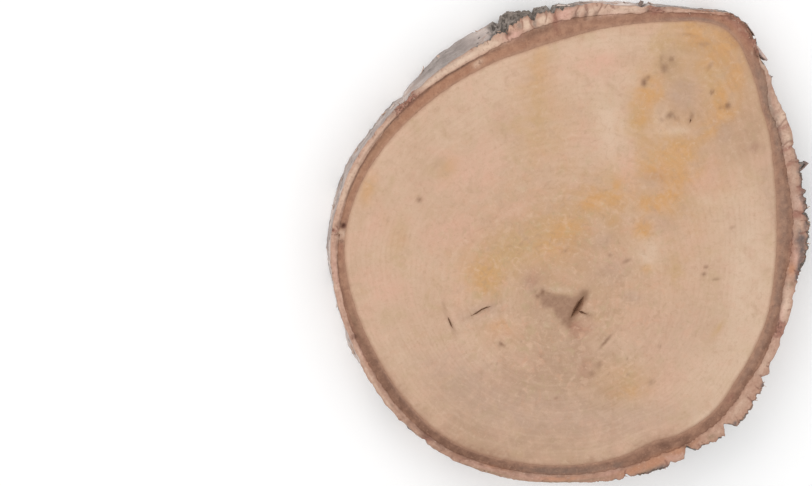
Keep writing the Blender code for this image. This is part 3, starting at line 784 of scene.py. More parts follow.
def check_cutter(points, gap, depth):
    """A wedge along one drying check, closed at both ends."""
    top, bottom = THICKNESS + ABOVE_FACE, THICKNESS - depth * MM
    half_width = gap * MM / 2 * (top - bottom) / (THICKNESS - bottom)
    path = [Vector((x * MM, y * MM, top)) + Vector(CENTRE) for x, y in points]
    down = Vector((0, 0, bottom - top))
    bm = bmesh.new()
    sections = []
    for before, point, after in zip(path, path[1:], path[2:]):
        along = (after - before).normalized()
        side = Vector((-along.y, along.x, 0)) * half_width
        sections.append([bm.verts.new(point + offset) for offset in (side, -side, down)])
    first, last = bm.verts.new(path[0]), bm.verts.new(path[-1])
    for section, other in zip(sections, sections[1:]):
        for i in range(3):
            j = (i + 1) % 3
            bm.faces.new((section[i], section[j], other[j], other[i]))
    for i in range(3):
        j = (i + 1) % 3
        bm.faces.new((first, sections[0][j], sections[0][i]))
        bm.faces.new((last, sections[-1][i], sections[-1][j]))
    bmesh.ops.recalc_face_normals(bm, faces=bm.faces)
    mesh = bpy.data.meshes.new("check")
    bm.to_mesh(mesh)
    bm.free()
    return add_object("check", mesh)


def cut_checks(obj):
    """Opens the drying checks in the upper face."""
    wedges = bpy.data.collections.new("checks")
    for points, gap, depth in CHECKS:
        wedges.objects.link(check_cutter(points, gap, depth))
    modifier = obj.modifiers.new("checks", "BOOLEAN")
    modifier.operation = "DIFFERENCE"
    modifier.solver = "EXACT"
    modifier.operand_type = "COLLECTION"
    modifier.collection = wedges
    bpy.context.view_layer.objects.active = obj
    bpy.ops.object.modifier_apply(modifier=modifier.name)
    for wedge in list(wedges.objects):
        bpy.data.objects.remove(wedge)
    bpy.data.collections.remove(wedges)


# The shares of the map's width that the upper and the lower face take, and how far inside the edge a
# face of the mesh can lie and still belong to the side.
UPPER_MAP, LOWER_MAP = 0.70, 0.28
SIDE_REACH = 2.5 * MM


def map_wood(obj):
    """Lays the upper face, the lower face and the side out apart in the bake's map."""
    mesh = obj.data
    points = points_of(obj)
    corners = points[read(mesh.loops, "vertex_index", 1, np.int32)[:, 0]]
    totals = read(mesh.polygons, "loop_total", 1, np.int32)[:, 0]
    up = np.repeat(read(mesh.polygons, "normal", 3)[:, 2], totals)
    middle = np.repeat(read(mesh.polygons, "center", 3), totals, axis=0)
    place = (corners[:, :2] - cad_low[:2]) / (cad_high - cad_low)[:2]
    x, y = (middle - CENTRE)[:, 0], (middle - CENTRE)[:, 1]
    near_edge = np.hypot(x, y) > wood_edge(np.degrees(np.arctan2(y, x))) - SIDE_REACH
    side = near_edge & (np.abs(up) < 0.5)
    lower = (up < -0.5) & (middle[:, 2] < THICKNESS / 2)
    uv = place * UPPER_MAP
    uv[lower] = place[lower] * LOWER_MAP + (UPPER_MAP + 0.01, 0)
    uv[side] = np.stack([
        UPPER_MAP + 0.01 + LOWER_MAP * np.mod(np.arctan2(y[side], x[side]) / (2 * math.pi), 1),
        UPPER_MAP + 0.02 + 0.2 * corners[side, 2] / THICKNESS,
    ], axis=-1)
    set_map(obj, uv)


# Where the wood near its edge is darker brown: real smears, and low on the face painted shade beside the
# sunken ring. Each has an angle, half width in degrees and strength.
WOOD_SMEARS_AND_SHADE = (
    (248, 22, 1), (274, 20, 0.8), (293, 12, 1), (222, 16, 0.7), (56, 10, 0.6), (8, 8, 0.3),
    (52, 5, 0.7),
)


def sawn_wood():
    """The sawn wood with its checks, its masks and its map."""
    obj = wood_solid()
    cut_checks(obj)
    points = points_of(obj) - CENTRE
    x, y, height = points.T
    masks = wood_masks(x, y)
    for name, values in masks.items():
        set_mask(obj, name, values)
    inside = wood_edge(np.degrees(np.arctan2(y, x))) - np.hypot(x, y)
    # Painted shade in the drying checks: the check mask grows with depth below the face, so their walls
    # darken the deeper they lie.
    depth = np.where(height > THICKNESS / 2, THICKNESS - height, 0) - edge_fall(np.maximum(inside, 0))
    shade_in_check = ease(depth - HEART_DEPTH * masks["heart"], 0.15 * MM, 0.7 * MM)
    set_mask(obj, "check", np.where(inside < EDGE_WIDTH, 0, shade_in_check))
    wave = 0.5 * Noise(44).flat(x, y, 5 * MM, 3)
    set_mask(obj, "rim", ease(inside / MM + wave, 1.9, -0.6))
    # Brown near the edge: real smears, and low on the face painted shade.
    smear = along_rim(np.degrees(np.arctan2(y, x)), WOOD_SMEARS_AND_SHADE)
    set_mask(obj, "smear", smear * ease(inside / MM + 3.5 * wave, 6.0, 0.0))
    map_wood(obj)
    return obj


# The points round a band of bark, how far the ring runs in under its neighbours, and the shares of
# its width where its points lie.
AROUND = 1480
TUCK = 1.4 * MM
INNER_SHARES = np.array([
    -0.05, 0.03, 0.1, 0.18, 0.27, 0.36, 0.45, 0.54, 0.63, 0.72, 0.81, 0.9, 0.98, 1.06,
])
# How far the ring lies below the face beside the wood and beside the outer bark.
INNER_SUNK, OUTER_SUNK = 0.4 * MM, 0.65 * MM
BURIED, LEAST_SUNK = 0.7 * MM, 0.1 * MM
LUMP_HEIGHT, STRAND_HEIGHT, SPECK_HEIGHT = 0.24 * MM, 0.12 * MM, 0.1 * MM
# A deep crack across the ring: angle and half width in degrees.
RING_HOLE = (174.6, 0.9)
HOLE_DEPTH = 1.2 * MM


def inner_bark():
    """The brown ring between the wood and the outer bark, shrunk below both faces."""
    angles = np.arange(AROUND) * 360 / AROUND
    wood, outer = wood_edge(angles), bark_start(angles)
    low_wood = wood_edge(angles, upper=False)
    tracks, across, level, torn = [], [], [], []
    stains = {name: [] for name in RIM_STAINS}
    rough, fine, fibre = Noise(51), Noise(52), Noise(53)
    for upper in (False, True):
        shares = INNER_SHARES[::-1] if upper else INNER_SHARES
        for share in shares:
            inside = wood if upper else low_wood
            radius = inside + (outer - inside) * share
            radius = np.where(share < 0, inside - TUCK, np.where(share > 1, outer + TUCK, radius))
            slope = INNER_SUNK + (OUTER_SUNK - INNER_SUNK) * np.clip(share, 0, 1)
            buried = BURIED if share < 0 else 0
            place = share * 6 * MM
            lumps = LUMP_HEIGHT * rough.round_log(angles, place, 3 * MM, 2 * MM, 3)
            strands = STRAND_HEIGHT * fibre.round_log(angles, place, 5 * MM, 0.7 * MM, 2)
            grain = SPECK_HEIGHT * fine.round_log(angles, place, 0.9 * MM, 0.8 * MM)
            hole = hump(turn_between(angles, RING_HOLE[0]), RING_HOLE[1]) * hump(share - 0.45, 0.5)
            sunk = slope + buried + lumps + grain + strands + (HOLE_DEPTH * hole if upper else 0)
            sunk = np.maximum(sunk, LEAST_SUNK)
            tracks.append(to_world(angles, radius, THICKNESS - sunk if upper else sunk))
            across.append(np.full(AROUND, share))
            level.append((lumps + strands) / MM)
            torn.append(hole)
            for name, values in rim_masks(angles, radius - wood).items():
                stains[name].append(values if upper else 0.5 * values)
    obj = closed_band("inner_bark", np.stack(tracks))
    set_mask(obj, "across", np.stack(across))
    set_mask(obj, "lumps", np.stack(level))
    set_mask(obj, "hole", np.stack(torn))
    for name, values in stains.items():
        set_mask(obj, name, np.stack(values))
    return obj


# The rows of points up the bark's side, and the shares of the sawn bark's width where points lie on
# the upper and on the lower face.
SIDE_ROWS = 38
RIM_SHARES = np.array([
    0, 0.05, 0.12, 0.19, 0.26, 0.33, 0.4, 0.47, 0.54, 0.61, 0.68, 0.75, 0.82, 0.88, 0.94, 0.975,
])
UNDER_SHARES = np.array([0, 0.15, 0.3, 0.45, 0.6, 0.75, 0.88, 0.96])
INNER_WALL = 2.4 * MM
MASKS = (
    "rough", "relief", "lenticel", "peel", "lip", "sawn", "share", "crack", "broken", "level",
    *SIDE_PLACES, *RIM_STAINS,
)


def outer_bark():
    """The outer bark: its sawn ring on both faces, and its weathered side."""
    angles = np.arange(AROUND) * 360 / AROUND
    heights = np.linspace(0, THICKNESS, SIDE_ROWS)
    side_radius, side = bark_side(angles, heights)
    wide = Noise(61).round_log(angles, 0.0, 4 * MM, 1)
    narrow = Noise(62).round_log(angles, 0.0, 1.4 * MM, 1)
    start = bark_start(angles) + MM * (0.2 + 0.8 * corky(angles)) * (0.9 * wide + 0.65 * narrow)
    blank = np.zeros(AROUND)
    places = {name: along_rim(angles, stretches) for name, stretches in SIDE_PLACES.items()}
    tracks, masks = [], {name: [] for name in MASKS}

    def add(radius, height, **given):
        given.update(places)
        tracks.append(to_world(angles, radius, height))
        for name in MASKS:
            masks[name].append(np.broadcast_to(given.get(name, blank), AROUND))

    def add_sawn(share, upper):
        outside = side_radius[-1 if upper else 0]
        drop, sawn = sawn_bark(angles if upper else angles + 7.0, share)
        drop = np.maximum(drop, -0.15 * MM) if upper else np.maximum(drop, 0) * 0.6
        height = THICKNESS - drop if upper else drop
        radius = start + (outside - start) * share
        sawn.update(rim_masks(angles, radius - wood_edge(angles)))
        add(radius, height, sawn=1.0, share=share, rough=side["rough"][-1], **sawn)

    add(start, INNER_WALL, sawn=1.0)
    for share in UNDER_SHARES:
        add_sawn(share, False)
    edge_drop, edge_masks = sawn_bark(angles, 1.0)
    for row, height in enumerate(heights):
        top_row = height == THICKNESS
        level = THICKNESS - np.clip(edge_drop, 0, 2 * MM) if top_row else height
        given = {name: values[row] for name, values in side.items()}
        if top_row:
            given.update(edge_masks)
        add(side_radius[row], level, **given)
    for share in RIM_SHARES[::-1]:
        add_sawn(share, True)
    add(start, THICKNESS - INNER_WALL, sawn=1.0)
    obj = closed_band("outer_bark", np.stack(tracks))
    for name in MASKS:
        set_mask(obj, name, np.stack(masks[name]))
    return obj


def blade_mesh(name, sheets):
    """Thin closed sheets in one mesh. Each is a pair of point grids, its outer and its inner side."""
    points, faces, offset = [], [], 0
    for outer, inner in sheets:
        rows, columns = outer.shape[:2]
        index = np.arange(rows * columns).reshape(rows, columns) + offset
        quads = np.stack([index[:-1, :-1], index[:-1, 1:], index[1:, 1:], index[1:, :-1]], axis=-1)
        quads = quads.reshape(-1, 4)
        faces += [quads, quads[:, ::-1] + rows * columns]
        front_loop = np.concatenate([index[0, :-1], index[:-1, -1], index[-1, :0:-1], index[:0:-1, 0]])
        back_loop = front_loop + rows * columns
        faces.append(np.stack([
            front_loop, back_loop, np.roll(back_loop, -1), np.roll(front_loop, -1)
        ], axis=-1))
        points += [outer.reshape(-1, 3), inner.reshape(-1, 3)]
        offset += 2 * rows * columns
    return smooth_mesh(name, np.concatenate(points), np.concatenate(faces))


# Torn flakes seen from above: the points along each one in mm from the middle of the face, its
# thickness at the root in mm, its lowest and highest height in mm, and how light it is, 0 to 1.
TORN_FLAKES = (
    (((92.6, 99.6), (94.8, 96.8), (97, 94.2), (99.4, 91.9)), 3.6, 10, 27.2, 1),
    (((87.6, 111), (90.5, 107.6), (93, 104)), 0.7, 14, 26.8, 0.7),
    (((116.4, 35.8), (118, 37), (119.7, 38.5), (121.3, 40.2)), 1.2, 17, 27.2, 0.25),
    (((100, 81.4), (101.6, 82.4), (102.4, 83.8)), 0.6, 17, 27, 0.3),
    (((38.4, 117.2), (39.3, 119), (40.1, 120.6)), 0.6, 17, 27.5, 0),
    (((34.8, 118.4), (35.8, 120.1), (36.6, 121.6)), 0.6, 17, 27.5, 0),
    (((98.6, -66), (101, -67.2), (103, -66.8)), 0.7, 15, 27.2, 0.4),
    (((64, -99.6), (65.4, -102), (67.2, -103.4)), 0.7, 13, 27, 0.4),
    (((80.6, -88.2), (83.4, -89.4), (85.4, -91.2)), 0.7, 12, 27.2, 0.3),
)


FLAKE_POINTS, FLAKE_LEVELS = 13, 12
FLAKE_TAPER = 0.66


def torn_flakes():
    """Slivers of outer bark that stand away from the edge, thick at the root and thin at the tip."""
    sheets, lightness, inner_side = [], [], []
    random = np.random.default_rng(71)
    for path, thickness, low, high, light in TORN_FLAKES:
        path = np.array(path) * MM
        along = np.linspace(0, 1, FLAKE_POINTS)
        spots = np.linspace(0, 1, len(path))
        x, y = np.interp(along, spots, path[:, 0]), np.interp(along, spots, path[:, 1])
        for _ in range(2):
            x[1:-1] = (x[:-2] + 2 * x[1:-1] + x[2:]) / 4
            y[1:-1] = (y[:-2] + 2 * y[1:-1] + y[2:]) / 4
        side = np.stack([-np.gradient(y), np.gradient(x)], axis=-1)
        side /= np.linalg.norm(side, axis=1, keepdims=True)
        half = thickness * MM / 2 * (1 - FLAKE_TAPER * along**1.5)
        levels = np.linspace(0, 1, FLAKE_LEVELS)
        shrink = 0.6 + 0.4 * np.sin(math.pi * (0.12 + 0.88 * levels)) ** 0.4
        wobble = Noise(int(random.integers(1000)))
        grids = []
        for sign in (1, -1):
            rows = []
            for level, small in zip(levels, shrink):
                lean = 0.5 * MM * wobble.at(along * 2, level * 3)
                ragged = 1.2 * MM * wobble.at(along * 5, 9.0 + level)
                height = (low + (high - low) * level) * MM + ragged * (1 - level) - 0.6 * MM * along
                centre_x, centre_y = x + side[:, 0] * lean, y + side[:, 1] * lean
                out_x, out_y = sign * side[:, 0] * half * small, sign * side[:, 1] * half * small
                rows.append(np.stack([centre_x + out_x, centre_y + out_y, height], axis=-1))
            grids.append(np.stack(rows) + CENTRE)
        sheets.append(tuple(grids))
        count = FLAKE_POINTS * FLAKE_LEVELS
        lightness.append(np.full(2 * count, light))
        inner_side += [np.zeros(count), np.tile(1 - along, FLAKE_LEVELS)]
    obj = blade_mesh("torn_flakes", sheets)
    set_mask(obj, "light", np.concatenate(lightness))
    set_mask(obj, "inner_side", np.concatenate(inner_side))
    return obj


PEELS = 40
PEEL_COLUMNS, PEEL_ROWS = 14, 8
PEEL_THICKNESS = 0.22 * MM
PEEL_ROOT = 0.25 * MM
TOO_CORKY = 0.8


def paper_peels():
    """Papery sheets of bark that curl away from the side, each still fixed along one edge."""
    sheets = []
    random = np.random.default_rng(72)
    for number in range(PEELS):
        middle = 360 * (number + random.uniform(0.1, 0.9)) / PEELS
        width = random.uniform(4, 14) / (MEAN_RADIUS / MM)
        tall = random.uniform(2.0, 7.0) * MM
        level = random.uniform(3 * MM, THICKNESS - 4 * MM - tall)
        lift = random.uniform(0.6, 1.8) * MM
        way = random.choice([-1, 1])
        along, up = np.meshgrid(np.linspace(0, 1, PEEL_COLUMNS), np.linspace(0, 1, PEEL_ROWS))
        ragged = Noise(int(random.integers(1000)))
        if corky(middle) > TOO_CORKY:
            continue
        height = level + tall * (up + 0.18 * ragged.at(along * 3, up * 0.5) * (along + 0.2))
        reach = along * (1 + 0.12 * ragged.at(up * 3, 5.0))
        angles = middle + way * np.degrees(width) * (reach - 0.18 * reach**3)
        below = solid_bark(angles, height)
        outward = below - PEEL_ROOT + lift * reach**2.2 * (0.7 + 0.3 * np.sin(math.pi * up))
        outer = to_world(angles, outward, height)
        inner = to_world(angles, outward - PEEL_THICKNESS, height)
        sheets.append((outer, inner) if way > 0 else (outer[:, ::-1], inner[:, ::-1]))
    return blade_mesh("paper_peels", sheets)


# Where the cut bark is frayed: angle, spread in degrees, radius and spread in mm, and how many.
FRAYED = (
    (178, 1.3, 116, 2.6, 16), (138.6, 3, 109.5, 2, 18), (51, 5, 140, 0.9, 22), (62, 7, 134.8, 0.5, 12),
    (107, 2.5, 112, 2, 12), (8, 9, 121.5, 0.8, 18), (305, 22, 125, 1.5, 30),
    (117.3, 1.8, 103.2, 1.6, 8),
)


FIBRE_POINTS = 4
FIBRE_ROOT, FIBRE_ARCH, FIBRE_THICKNESS = 1.3 * MM, 0.3 * MM, 0.12 * MM
FIBRE_INSET = 0.6 * MM
FIBRE_TAPER = 0.85


def frayed_fibres():
    """Short splinters that the saw left standing in the cut bark."""
    sheets = []
    random = np.random.default_rng(73)
    for middle, spread, radius, wide, count in FRAYED:
        for _ in range(count):
            angle = middle + spread * random.uniform(-1, 1)
            distance = (radius + wide * random.uniform(-1, 1)) * MM
            edge = solid_bark(np.array([angle]), np.array([THICKNESS]))[0]
            root = to_world(angle, min(distance, edge - FIBRE_INSET), THICKNESS - FIBRE_ROOT)
            heading = random.uniform(0, 2 * math.pi)
            length = random.uniform(0.8, 2.6) * MM
            rise = random.uniform(0.7, 1.5) * MM
            tip = root + np.array([length * math.cos(heading), length * math.sin(heading), rise])
            side = np.array([-math.sin(heading), math.cos(heading), 0]) * random.uniform(0.12, 0.3) * MM
            thick = np.array([0, 0, FIBRE_THICKNESS])
            share = np.linspace(0, 1, FIBRE_POINTS)[:, None]
            spine = root + (tip - root) * share + np.array([0, 0, FIBRE_ARCH]) * np.sin(math.pi * share)
            narrow = 1 - FIBRE_TAPER * share
            grid = np.stack([spine - side * narrow, spine + side * narrow], axis=1)
            sheets.append((grid + thick, grid - thick))
    return blade_mesh("frayed_fibres", sheets)


# How much brighter a surface renders in this room than its own colour.
ROOM_GAIN = 1.10


def seen(red, green, blue):
    """The shader's value for a colour given as it looks in this room, each from 0 to 255."""
    shares = [value / 255 for value in (red, green, blue)]
    lights = [s / 12.92 if s <= 0.04045 else ((s + 0.055) / 1.055) ** 2.4 for s in shares]
    return tuple(light / ROOM_GAIN for light in lights)


class Surface:
    """A material and short calls for its nodes. Colours in rows are given as they look in the room."""

    def __init__(self, name, roughness):
        self.material = bpy.data.materials.new(name)
        self.material.use_nodes = True
        self.tree = self.material.node_tree
        self.shader = self.tree.nodes["Principled BSDF"]
        self.shader.inputs["Roughness"].default_value = roughness
        self.place = self.node("TexCoord").outputs["Object"]

    def put(self, socket, value):
        if isinstance(value, bpy.types.NodeSocket):
            self.tree.links.new(value, socket)
        elif isinstance(value, tuple):
            socket.default_value = (*value, 1)[:len(socket.default_value)]
        else:
            socket.default_value = value

    def node(self, kind, **inputs):
        """A new node. Each input is a number, a vector, a colour or another node's output."""
        node = self.tree.nodes.new("ShaderNode" + kind)
        for name, value in inputs.items():
            self.put(node.inputs[name], value)
        return node

    def mask(self, name):
        node = self.node("Attribute")
        node.attribute_name = name
        return node.outputs["Fac"]

    def sum(self, operation, *values):
        node = self.node("Math")
        node.operation = operation
        for socket, value in zip(node.inputs, values):
            self.put(socket, value)
        return node.outputs[0]

    def product(self, a, b):
        return self.sum("MULTIPLY", a, b)

    def mix(self, factor, a, b):
        node = self.node("Mix")
        node.data_type = "RGBA"
        for socket, value in ((node.inputs["Factor"], factor), (node.inputs[6], a), (node.inputs[7], b)):
            self.put(socket, value)
        return node.outputs[2]

    def spread(self, value, low, high, to_low=0, to_high=1):
        """A smooth step from to_low, where value is low, to to_high, where it is high."""
        node = self.node("MapRange")
        node.interpolation_type = "SMOOTHSTEP"
        for socket, number in zip(node.inputs, (value, low, high, to_low, to_high)):
            self.put(socket, number)
        return node.outputs[0]

    def between(self, source, low, high, first, second):
        """A colour that goes from first to second as source goes from low to high."""
        return self.mix(self.spread(source, low, high), seen(*first), seen(*second))

    def over(self, colour, *rows, by=None):
        """Lays colours over one. A row has its source, where it begins and is full, its strength there
        and its colour. by is one more factor of all the strengths."""
        for source, low, high, strength, tint in rows:
            share = self.spread(source, low, high, 0, strength)
            colour = self.mix(self.product(by, share) if by else share, colour, seen(*tint))
        return colour

    def masked(self, colour, name, strength, tint):
        """Lays a colour over one by a mask."""
        return self.mix(self.product(self.mask(name), strength), colour, tint)

    def stained(self, colour, tints, uneven):
        """Lays the tints of stains over a colour, each by the mask of its name."""
        for name, (tint, strength) in tints.items():
            cover = self.product(self.product(self.mask(name), uneven), strength)
            colour = self.mix(cover, colour, seen(*tint))
        return colour

    def streaks(self, detail, x, y, z):
        """Noise drawn out along an axis, by how many grains there are to a metre along each."""
        node = self.node("Mapping", Vector=self.place, Scale=(x, y, z))
        return self.noise(1, detail, node.outputs[0])

    def noise(self, length, detail=2, vector=None, roughness=0.5, warp=0):
        """Noise whose grain has this length."""
        node = self.node(
            "TexNoise", Vector=vector or self.place, Scale=1 / length, Detail=detail,
            Roughness=roughness, Distortion=warp,
        )
        return node.outputs["Fac"]

    def noise_along(self, value, steps, detail):
        """Noise that changes only with one number, such as the growth from the pith."""
        node = self.node("TexNoise", Scale=steps, Detail=detail)
        node.noise_dimensions = "1D"
        self.put(node.inputs["W"], value)
        return node.outputs["Fac"]

    def finish(self, colour, relief, roughness=None):
        """Joins it all. A row of relief has the height, its depth and its strength."""
        normal = None
        for height, depth, strength in relief:
            node = self.node("Bump", Strength=strength, Distance=depth, Height=height)
            if normal:
                self.put(node.inputs["Normal"], normal)
            normal = node.outputs[0]
        self.put(self.shader.inputs["Base Color"], colour)
        self.put(self.shader.inputs["Normal"], normal)
        if roughness:
            self.put(self.shader.inputs["Roughness"], roughness)
        return self.material


# How many rings the wood has from the pith to the bark.
RINGS = 44
# The tints of the sawn wood's stains, and how strong each one is, in the order they are laid on.
WOOD_TINTS = {
    "warm": ((199, 157, 117), 0.75),
    "pale": ((219, 190, 164), 0.75),
    "pink": ((218, 171, 147), 0.75),
    # Greyish wood, which low on the face is partly painted shade.
    "grey": ((184, 152, 131), 0.7),
    "olive": ((195, 158, 111), 0.75),
    "umber": ((176, 141, 114), 0.7),
    "orange": ((207, 153, 92), 0.75),
    "rust": ((166, 118, 94), 0.85),
}


def wood_material():
    """Sawn birch: soft stains round the knot and the heart, faint rings, and fine pores."""
    s = Surface("sawn_birch", 0.62)
    patch = s.noise(34 * MM)
    mottle = s.noise(9 * MM, 4, warp=0.8)
    blush = s.noise(13 * MM, 3, warp=0.5)
    fleck = s.noise(2.2 * MM, 3, warp=0.5)
    pores = s.noise(0.6 * MM)
    colour = s.over(
        s.between(patch, 0.35, 0.65, (202, 166, 138), (210, 175, 148)),
        (blush, 0.48, 0.66, 0.55, (213, 170, 145)),
        (blush, 0.46, 0.3, 0.55, (194, 163, 127)),
    )
    colour = s.stained(colour, WOOD_TINTS, s.spread(mottle, 0.3, 0.62, 0.5, 1.15))
    ring = s.mask("ring")
    turn = s.sum("FRACT", s.sum("MULTIPLY_ADD", ring, RINGS, s.product(s.noise(7 * MM), 0.5)))
    late = s.spread(turn, 0.45, 0.97)
    clear = s.spread(s.noise(17 * MM, 3), 0.42, 0.66, 0.02, 0.13)
    colour = s.mix(s.product(late, clear), colour, seen(176, 137, 105))
    colour = s.over(colour, (s.noise_along(ring, 30, 3), 0.44, 0.7, 0.13, (219, 186, 160)))
    flecks = s.noise(3.4 * MM, 2, warp=1)
    blots = s.noise(4.6 * MM, 3, warp=0.6)
    colour = s.over(
        colour,
        (flecks, 0.56, 0.7, 0.3, (224, 187, 158)),
        (flecks, 0.44, 0.3, 0.34, (174, 138, 106)),
        (blots, 0.55, 0.7, 0.3, (210, 158, 128)),
        (blots, 0.45, 0.3, 0.3, (184, 162, 122)),
        by=s.spread(ring, 0.8, 0.25, 0.45, 1.1),
    )
    saw = s.streaks(2, 900, 40, 1)
    colour = s.over(
        colour,
        (mottle, 0.56, 0.72, 0.22, (220, 188, 162)),
        (mottle, 0.42, 0.28, 0.22, (180, 144, 114)),
        (fleck, 0.56, 0.74, 0.25, (176, 138, 109)),
        (fleck, 0.44, 0.26, 0.25, (222, 190, 163)),
        (pores, 0.58, 0.72, 0.18, (160, 122, 94)),
        (saw, 0.5, 0.8, 0.06, (182, 146, 118)),
    )
    heart = s.between(fleck, 0.3, 0.7, (166, 129, 104), (150, 113, 89))
    colour = s.masked(colour, "heart", 0.9, heart)
    colour = s.masked(colour, "spot", 0.85, seen(130, 93, 67))
    # Painted shade along the wood's lower edge, with real brown smears at the other angles.
    colour = s.masked(colour, "smear", s.spread(fleck, 0.3, 0.7, 0.35, 0.75), seen(158, 118, 93))
    colour = s.masked(colour, "rim", 0.75, seen(168, 126, 101))
    # Painted shade in the drying checks, darker with depth.
    colour = s.mix(s.mask("check"), colour, seen(128, 90, 66))
    relief = (
        (late, 0.04 * MM, 0.5), (pores, 0.12 * MM, 0.7), (saw, 0.05 * MM, 0.5), (fleck, 0.1 * MM, 0.6),
    )
    return s.finish(colour, relief, s.spread(pores, 0.3, 0.7, 0.56, 0.74))


# The tints of RIM_STAINS, and how strong each one is, in the order they are laid on.
RIM_TINTS = {
    "dull": ((164, 122, 100), 0.8),
    "pale": ((228, 200, 176), 0.9),
    "pink": ((222, 174, 158), 0.8),
    "orange": ((196, 136, 100), 0.8),
    "olive": ((136, 114, 86), 0.8),
    "grey": ((134, 118, 107), 0.75),
    "slate": ((92, 84, 84), 0.9),
    "red": ((152, 98, 82), 0.85),
    # Dark brown bark, and painted shade in the sunken ring.
    "brown": ((108, 74, 57), 0.85),
}


def inner_bark_material():
    """Dried inner bark: brown and granular, with darker, greyer and redder stretches."""
    s = Surface("inner_bark", 0.85)
    across = s.mask("across")
    grain = s.noise(1 * MM, 4, roughness=0.65)
    clumps = s.noise(4 * MM, 3, warp=0.4)
    colour = s.between(clumps, 0.32, 0.68, (152, 111, 89), (174, 131, 106))
    colour = s.stained(colour, RIM_TINTS, s.spread(clumps, 0.3, 0.66, 0.95, 0.7))
    colour = s.over(
        colour,
        (grain, 0.52, 0.74, 0.4, (112, 76, 60)),
        (grain, 0.46, 0.28, 0.35, (200, 156, 130)),
        # Painted shade along the ring's outer edge, under the wall of the outer bark.
        (across, 0.9, 1.04, 0.35, (122, 86, 68)),
        (across, 0.28, 0, 0.4, (182, 144, 120)),
    )
    colour = s.masked(colour, "hole", 0.85, seen(92, 48, 36))
    return s.finish(colour, ((clumps, 0.4 * MM, 0.6), (grain, 0.3 * MM, 0.9)))


def bark_side_colour(s, streak, speck):
    """The colours of the bark's side: papery sheets, black cork, and lilac and murky stretches."""
    cloud = s.noise(13 * MM, 4)
    paper = s.over(
        s.between(cloud, 0.35, 0.65, (214, 196, 186), (166, 149, 142)),
        (streak, 0.5, 0.7, 0.6, (140, 120, 112)),
        (streak, 0.44, 0.3, 0.5, (228, 214, 205)),
    )
    tan = s.mix(streak, seen(160, 122, 102), seen(186, 152, 132))
    paper = s.mix(s.mask("peel"), paper, tan)
    paper = s.masked(paper, "lip", 0.5, seen(226, 210, 200))
    paper = s.over(paper, (s.mask("lenticel"), 0.15, 0.55, 1, (66, 54, 48)))
    cork = s.over(
        s.between(s.mask("relief"), 0.1, 0.85, (74, 66, 60), (146, 134, 126)),
        (speck, 0.52, 0.68, 0.6, (180, 168, 160)),
        (speck, 0.42, 0.3, 0.5, (62, 55, 50)),
    )
    lilac = s.over(
        s.between(cloud, 0.35, 0.65, (148, 136, 131), (126, 115, 110)),
        (speck, 0.46, 0.66, 0.6, (112, 104, 96)),
        (streak, 0.5, 0.7, 0.4, (186, 174, 166)),
    )
    side = s.masked(s.mix(s.mask("rough"), paper, cork), "light", 0.85, lilac)
    murky = s.between(speck, 0.36, 0.64, (82, 72, 63), (126, 113, 102))
    return s.masked(side, "dark", 0.7, murky)


def sawn_bark_colour(s, fray):
    """The colours of the cut bark: cream, its stains, torn places, cracks and a dark outer line."""
    level = s.mask("level")
    lump = s.noise(3.2 * MM, 3, warp=0.5)
    cream = s.over(
        s.between(lump, 0.3, 0.7, (204, 164, 142), (184, 143, 122)),
        (level, -0.1, -0.75, 0.4, (222, 188, 168)),
        (level, 0.1, 0.8, 0.5, (148, 106, 88)),
    )
    cream = s.stained(cream, RIM_TINTS, s.spread(lump, 0.28, 0.66, 1, 0.75))
    cream = s.over(
        cream,
        (fray, 0.52, 0.7, 0.4, (150, 110, 92)),
        (fray, 0.44, 0.28, 0.35, (224, 194, 175)),
    )
    broken = s.between(fray, 0.35, 0.65, (122, 78, 62), (176, 122, 104))
    cream = s.masked(cream, "broken", 0.75, broken)
    strength = s.sum("MULTIPLY_ADD", s.mask("black"), 0.8, 0.12)
    inset = s.sum("MULTIPLY_ADD", lump, 0.22, 0.76)
    line = s.spread(s.sum("SUBTRACT", s.mask("share"), inset), 0, 0.1)
    cream = s.mix(s.product(line, strength), cream, seen(62, 54, 46))
    return s.over(cream, (s.mask("crack"), 0.1, 1, 0.6, (142, 98, 82)))


def outer_bark_material():
    """Birch bark: pale papery sheets with dark lenticels, black cork, and a cream cut edge."""
    s = Surface("outer_bark", 0.8)
    streak = s.streaks(4, 120, 120, 700)
    speck = s.noise(1.6 * MM, 3)
    fray = s.noise(1.2 * MM, 4, roughness=0.6)
    side, cream = bark_side_colour(s, streak, speck), sawn_bark_colour(s, fray)
    colour = s.mix(s.spread(s.mask("sawn"), 0.3, 0.7), side, cream)
    relief = ((streak, 0.15 * MM, 0.5), (fray, 0.25 * MM, 0.8), (speck, 0.3 * MM, 0.7))
    return s.finish(colour, relief, s.spread(s.mask("rough"), 0, 1, 0.62, 0.92))


def flake_material():
    """A torn sliver of bark: cream inside, grey and weathered outside."""
    s = Surface("torn_bark", 0.8)
    cloud = s.noise(3 * MM, 4)
    streak = s.streaks(3, 160, 160, 600)
    weathered = s.between(cloud, 0.35, 0.65, (142, 120, 110), (98, 84, 77))
    fresh = s.between(cloud, 0.35, 0.65, (212, 184, 172), (180, 158, 152))
    colour = s.over(
        s.mix(s.mask("light"), weathered, fresh),
        (streak, 0.52, 0.72, 0.4, (120, 92, 82)),
        (s.mask("inner_side"), 0.3, 0.7, 0.85, (98, 62, 50)),
    )
    return s.finish(colour, ((streak, 0.2 * MM, 0.8),))


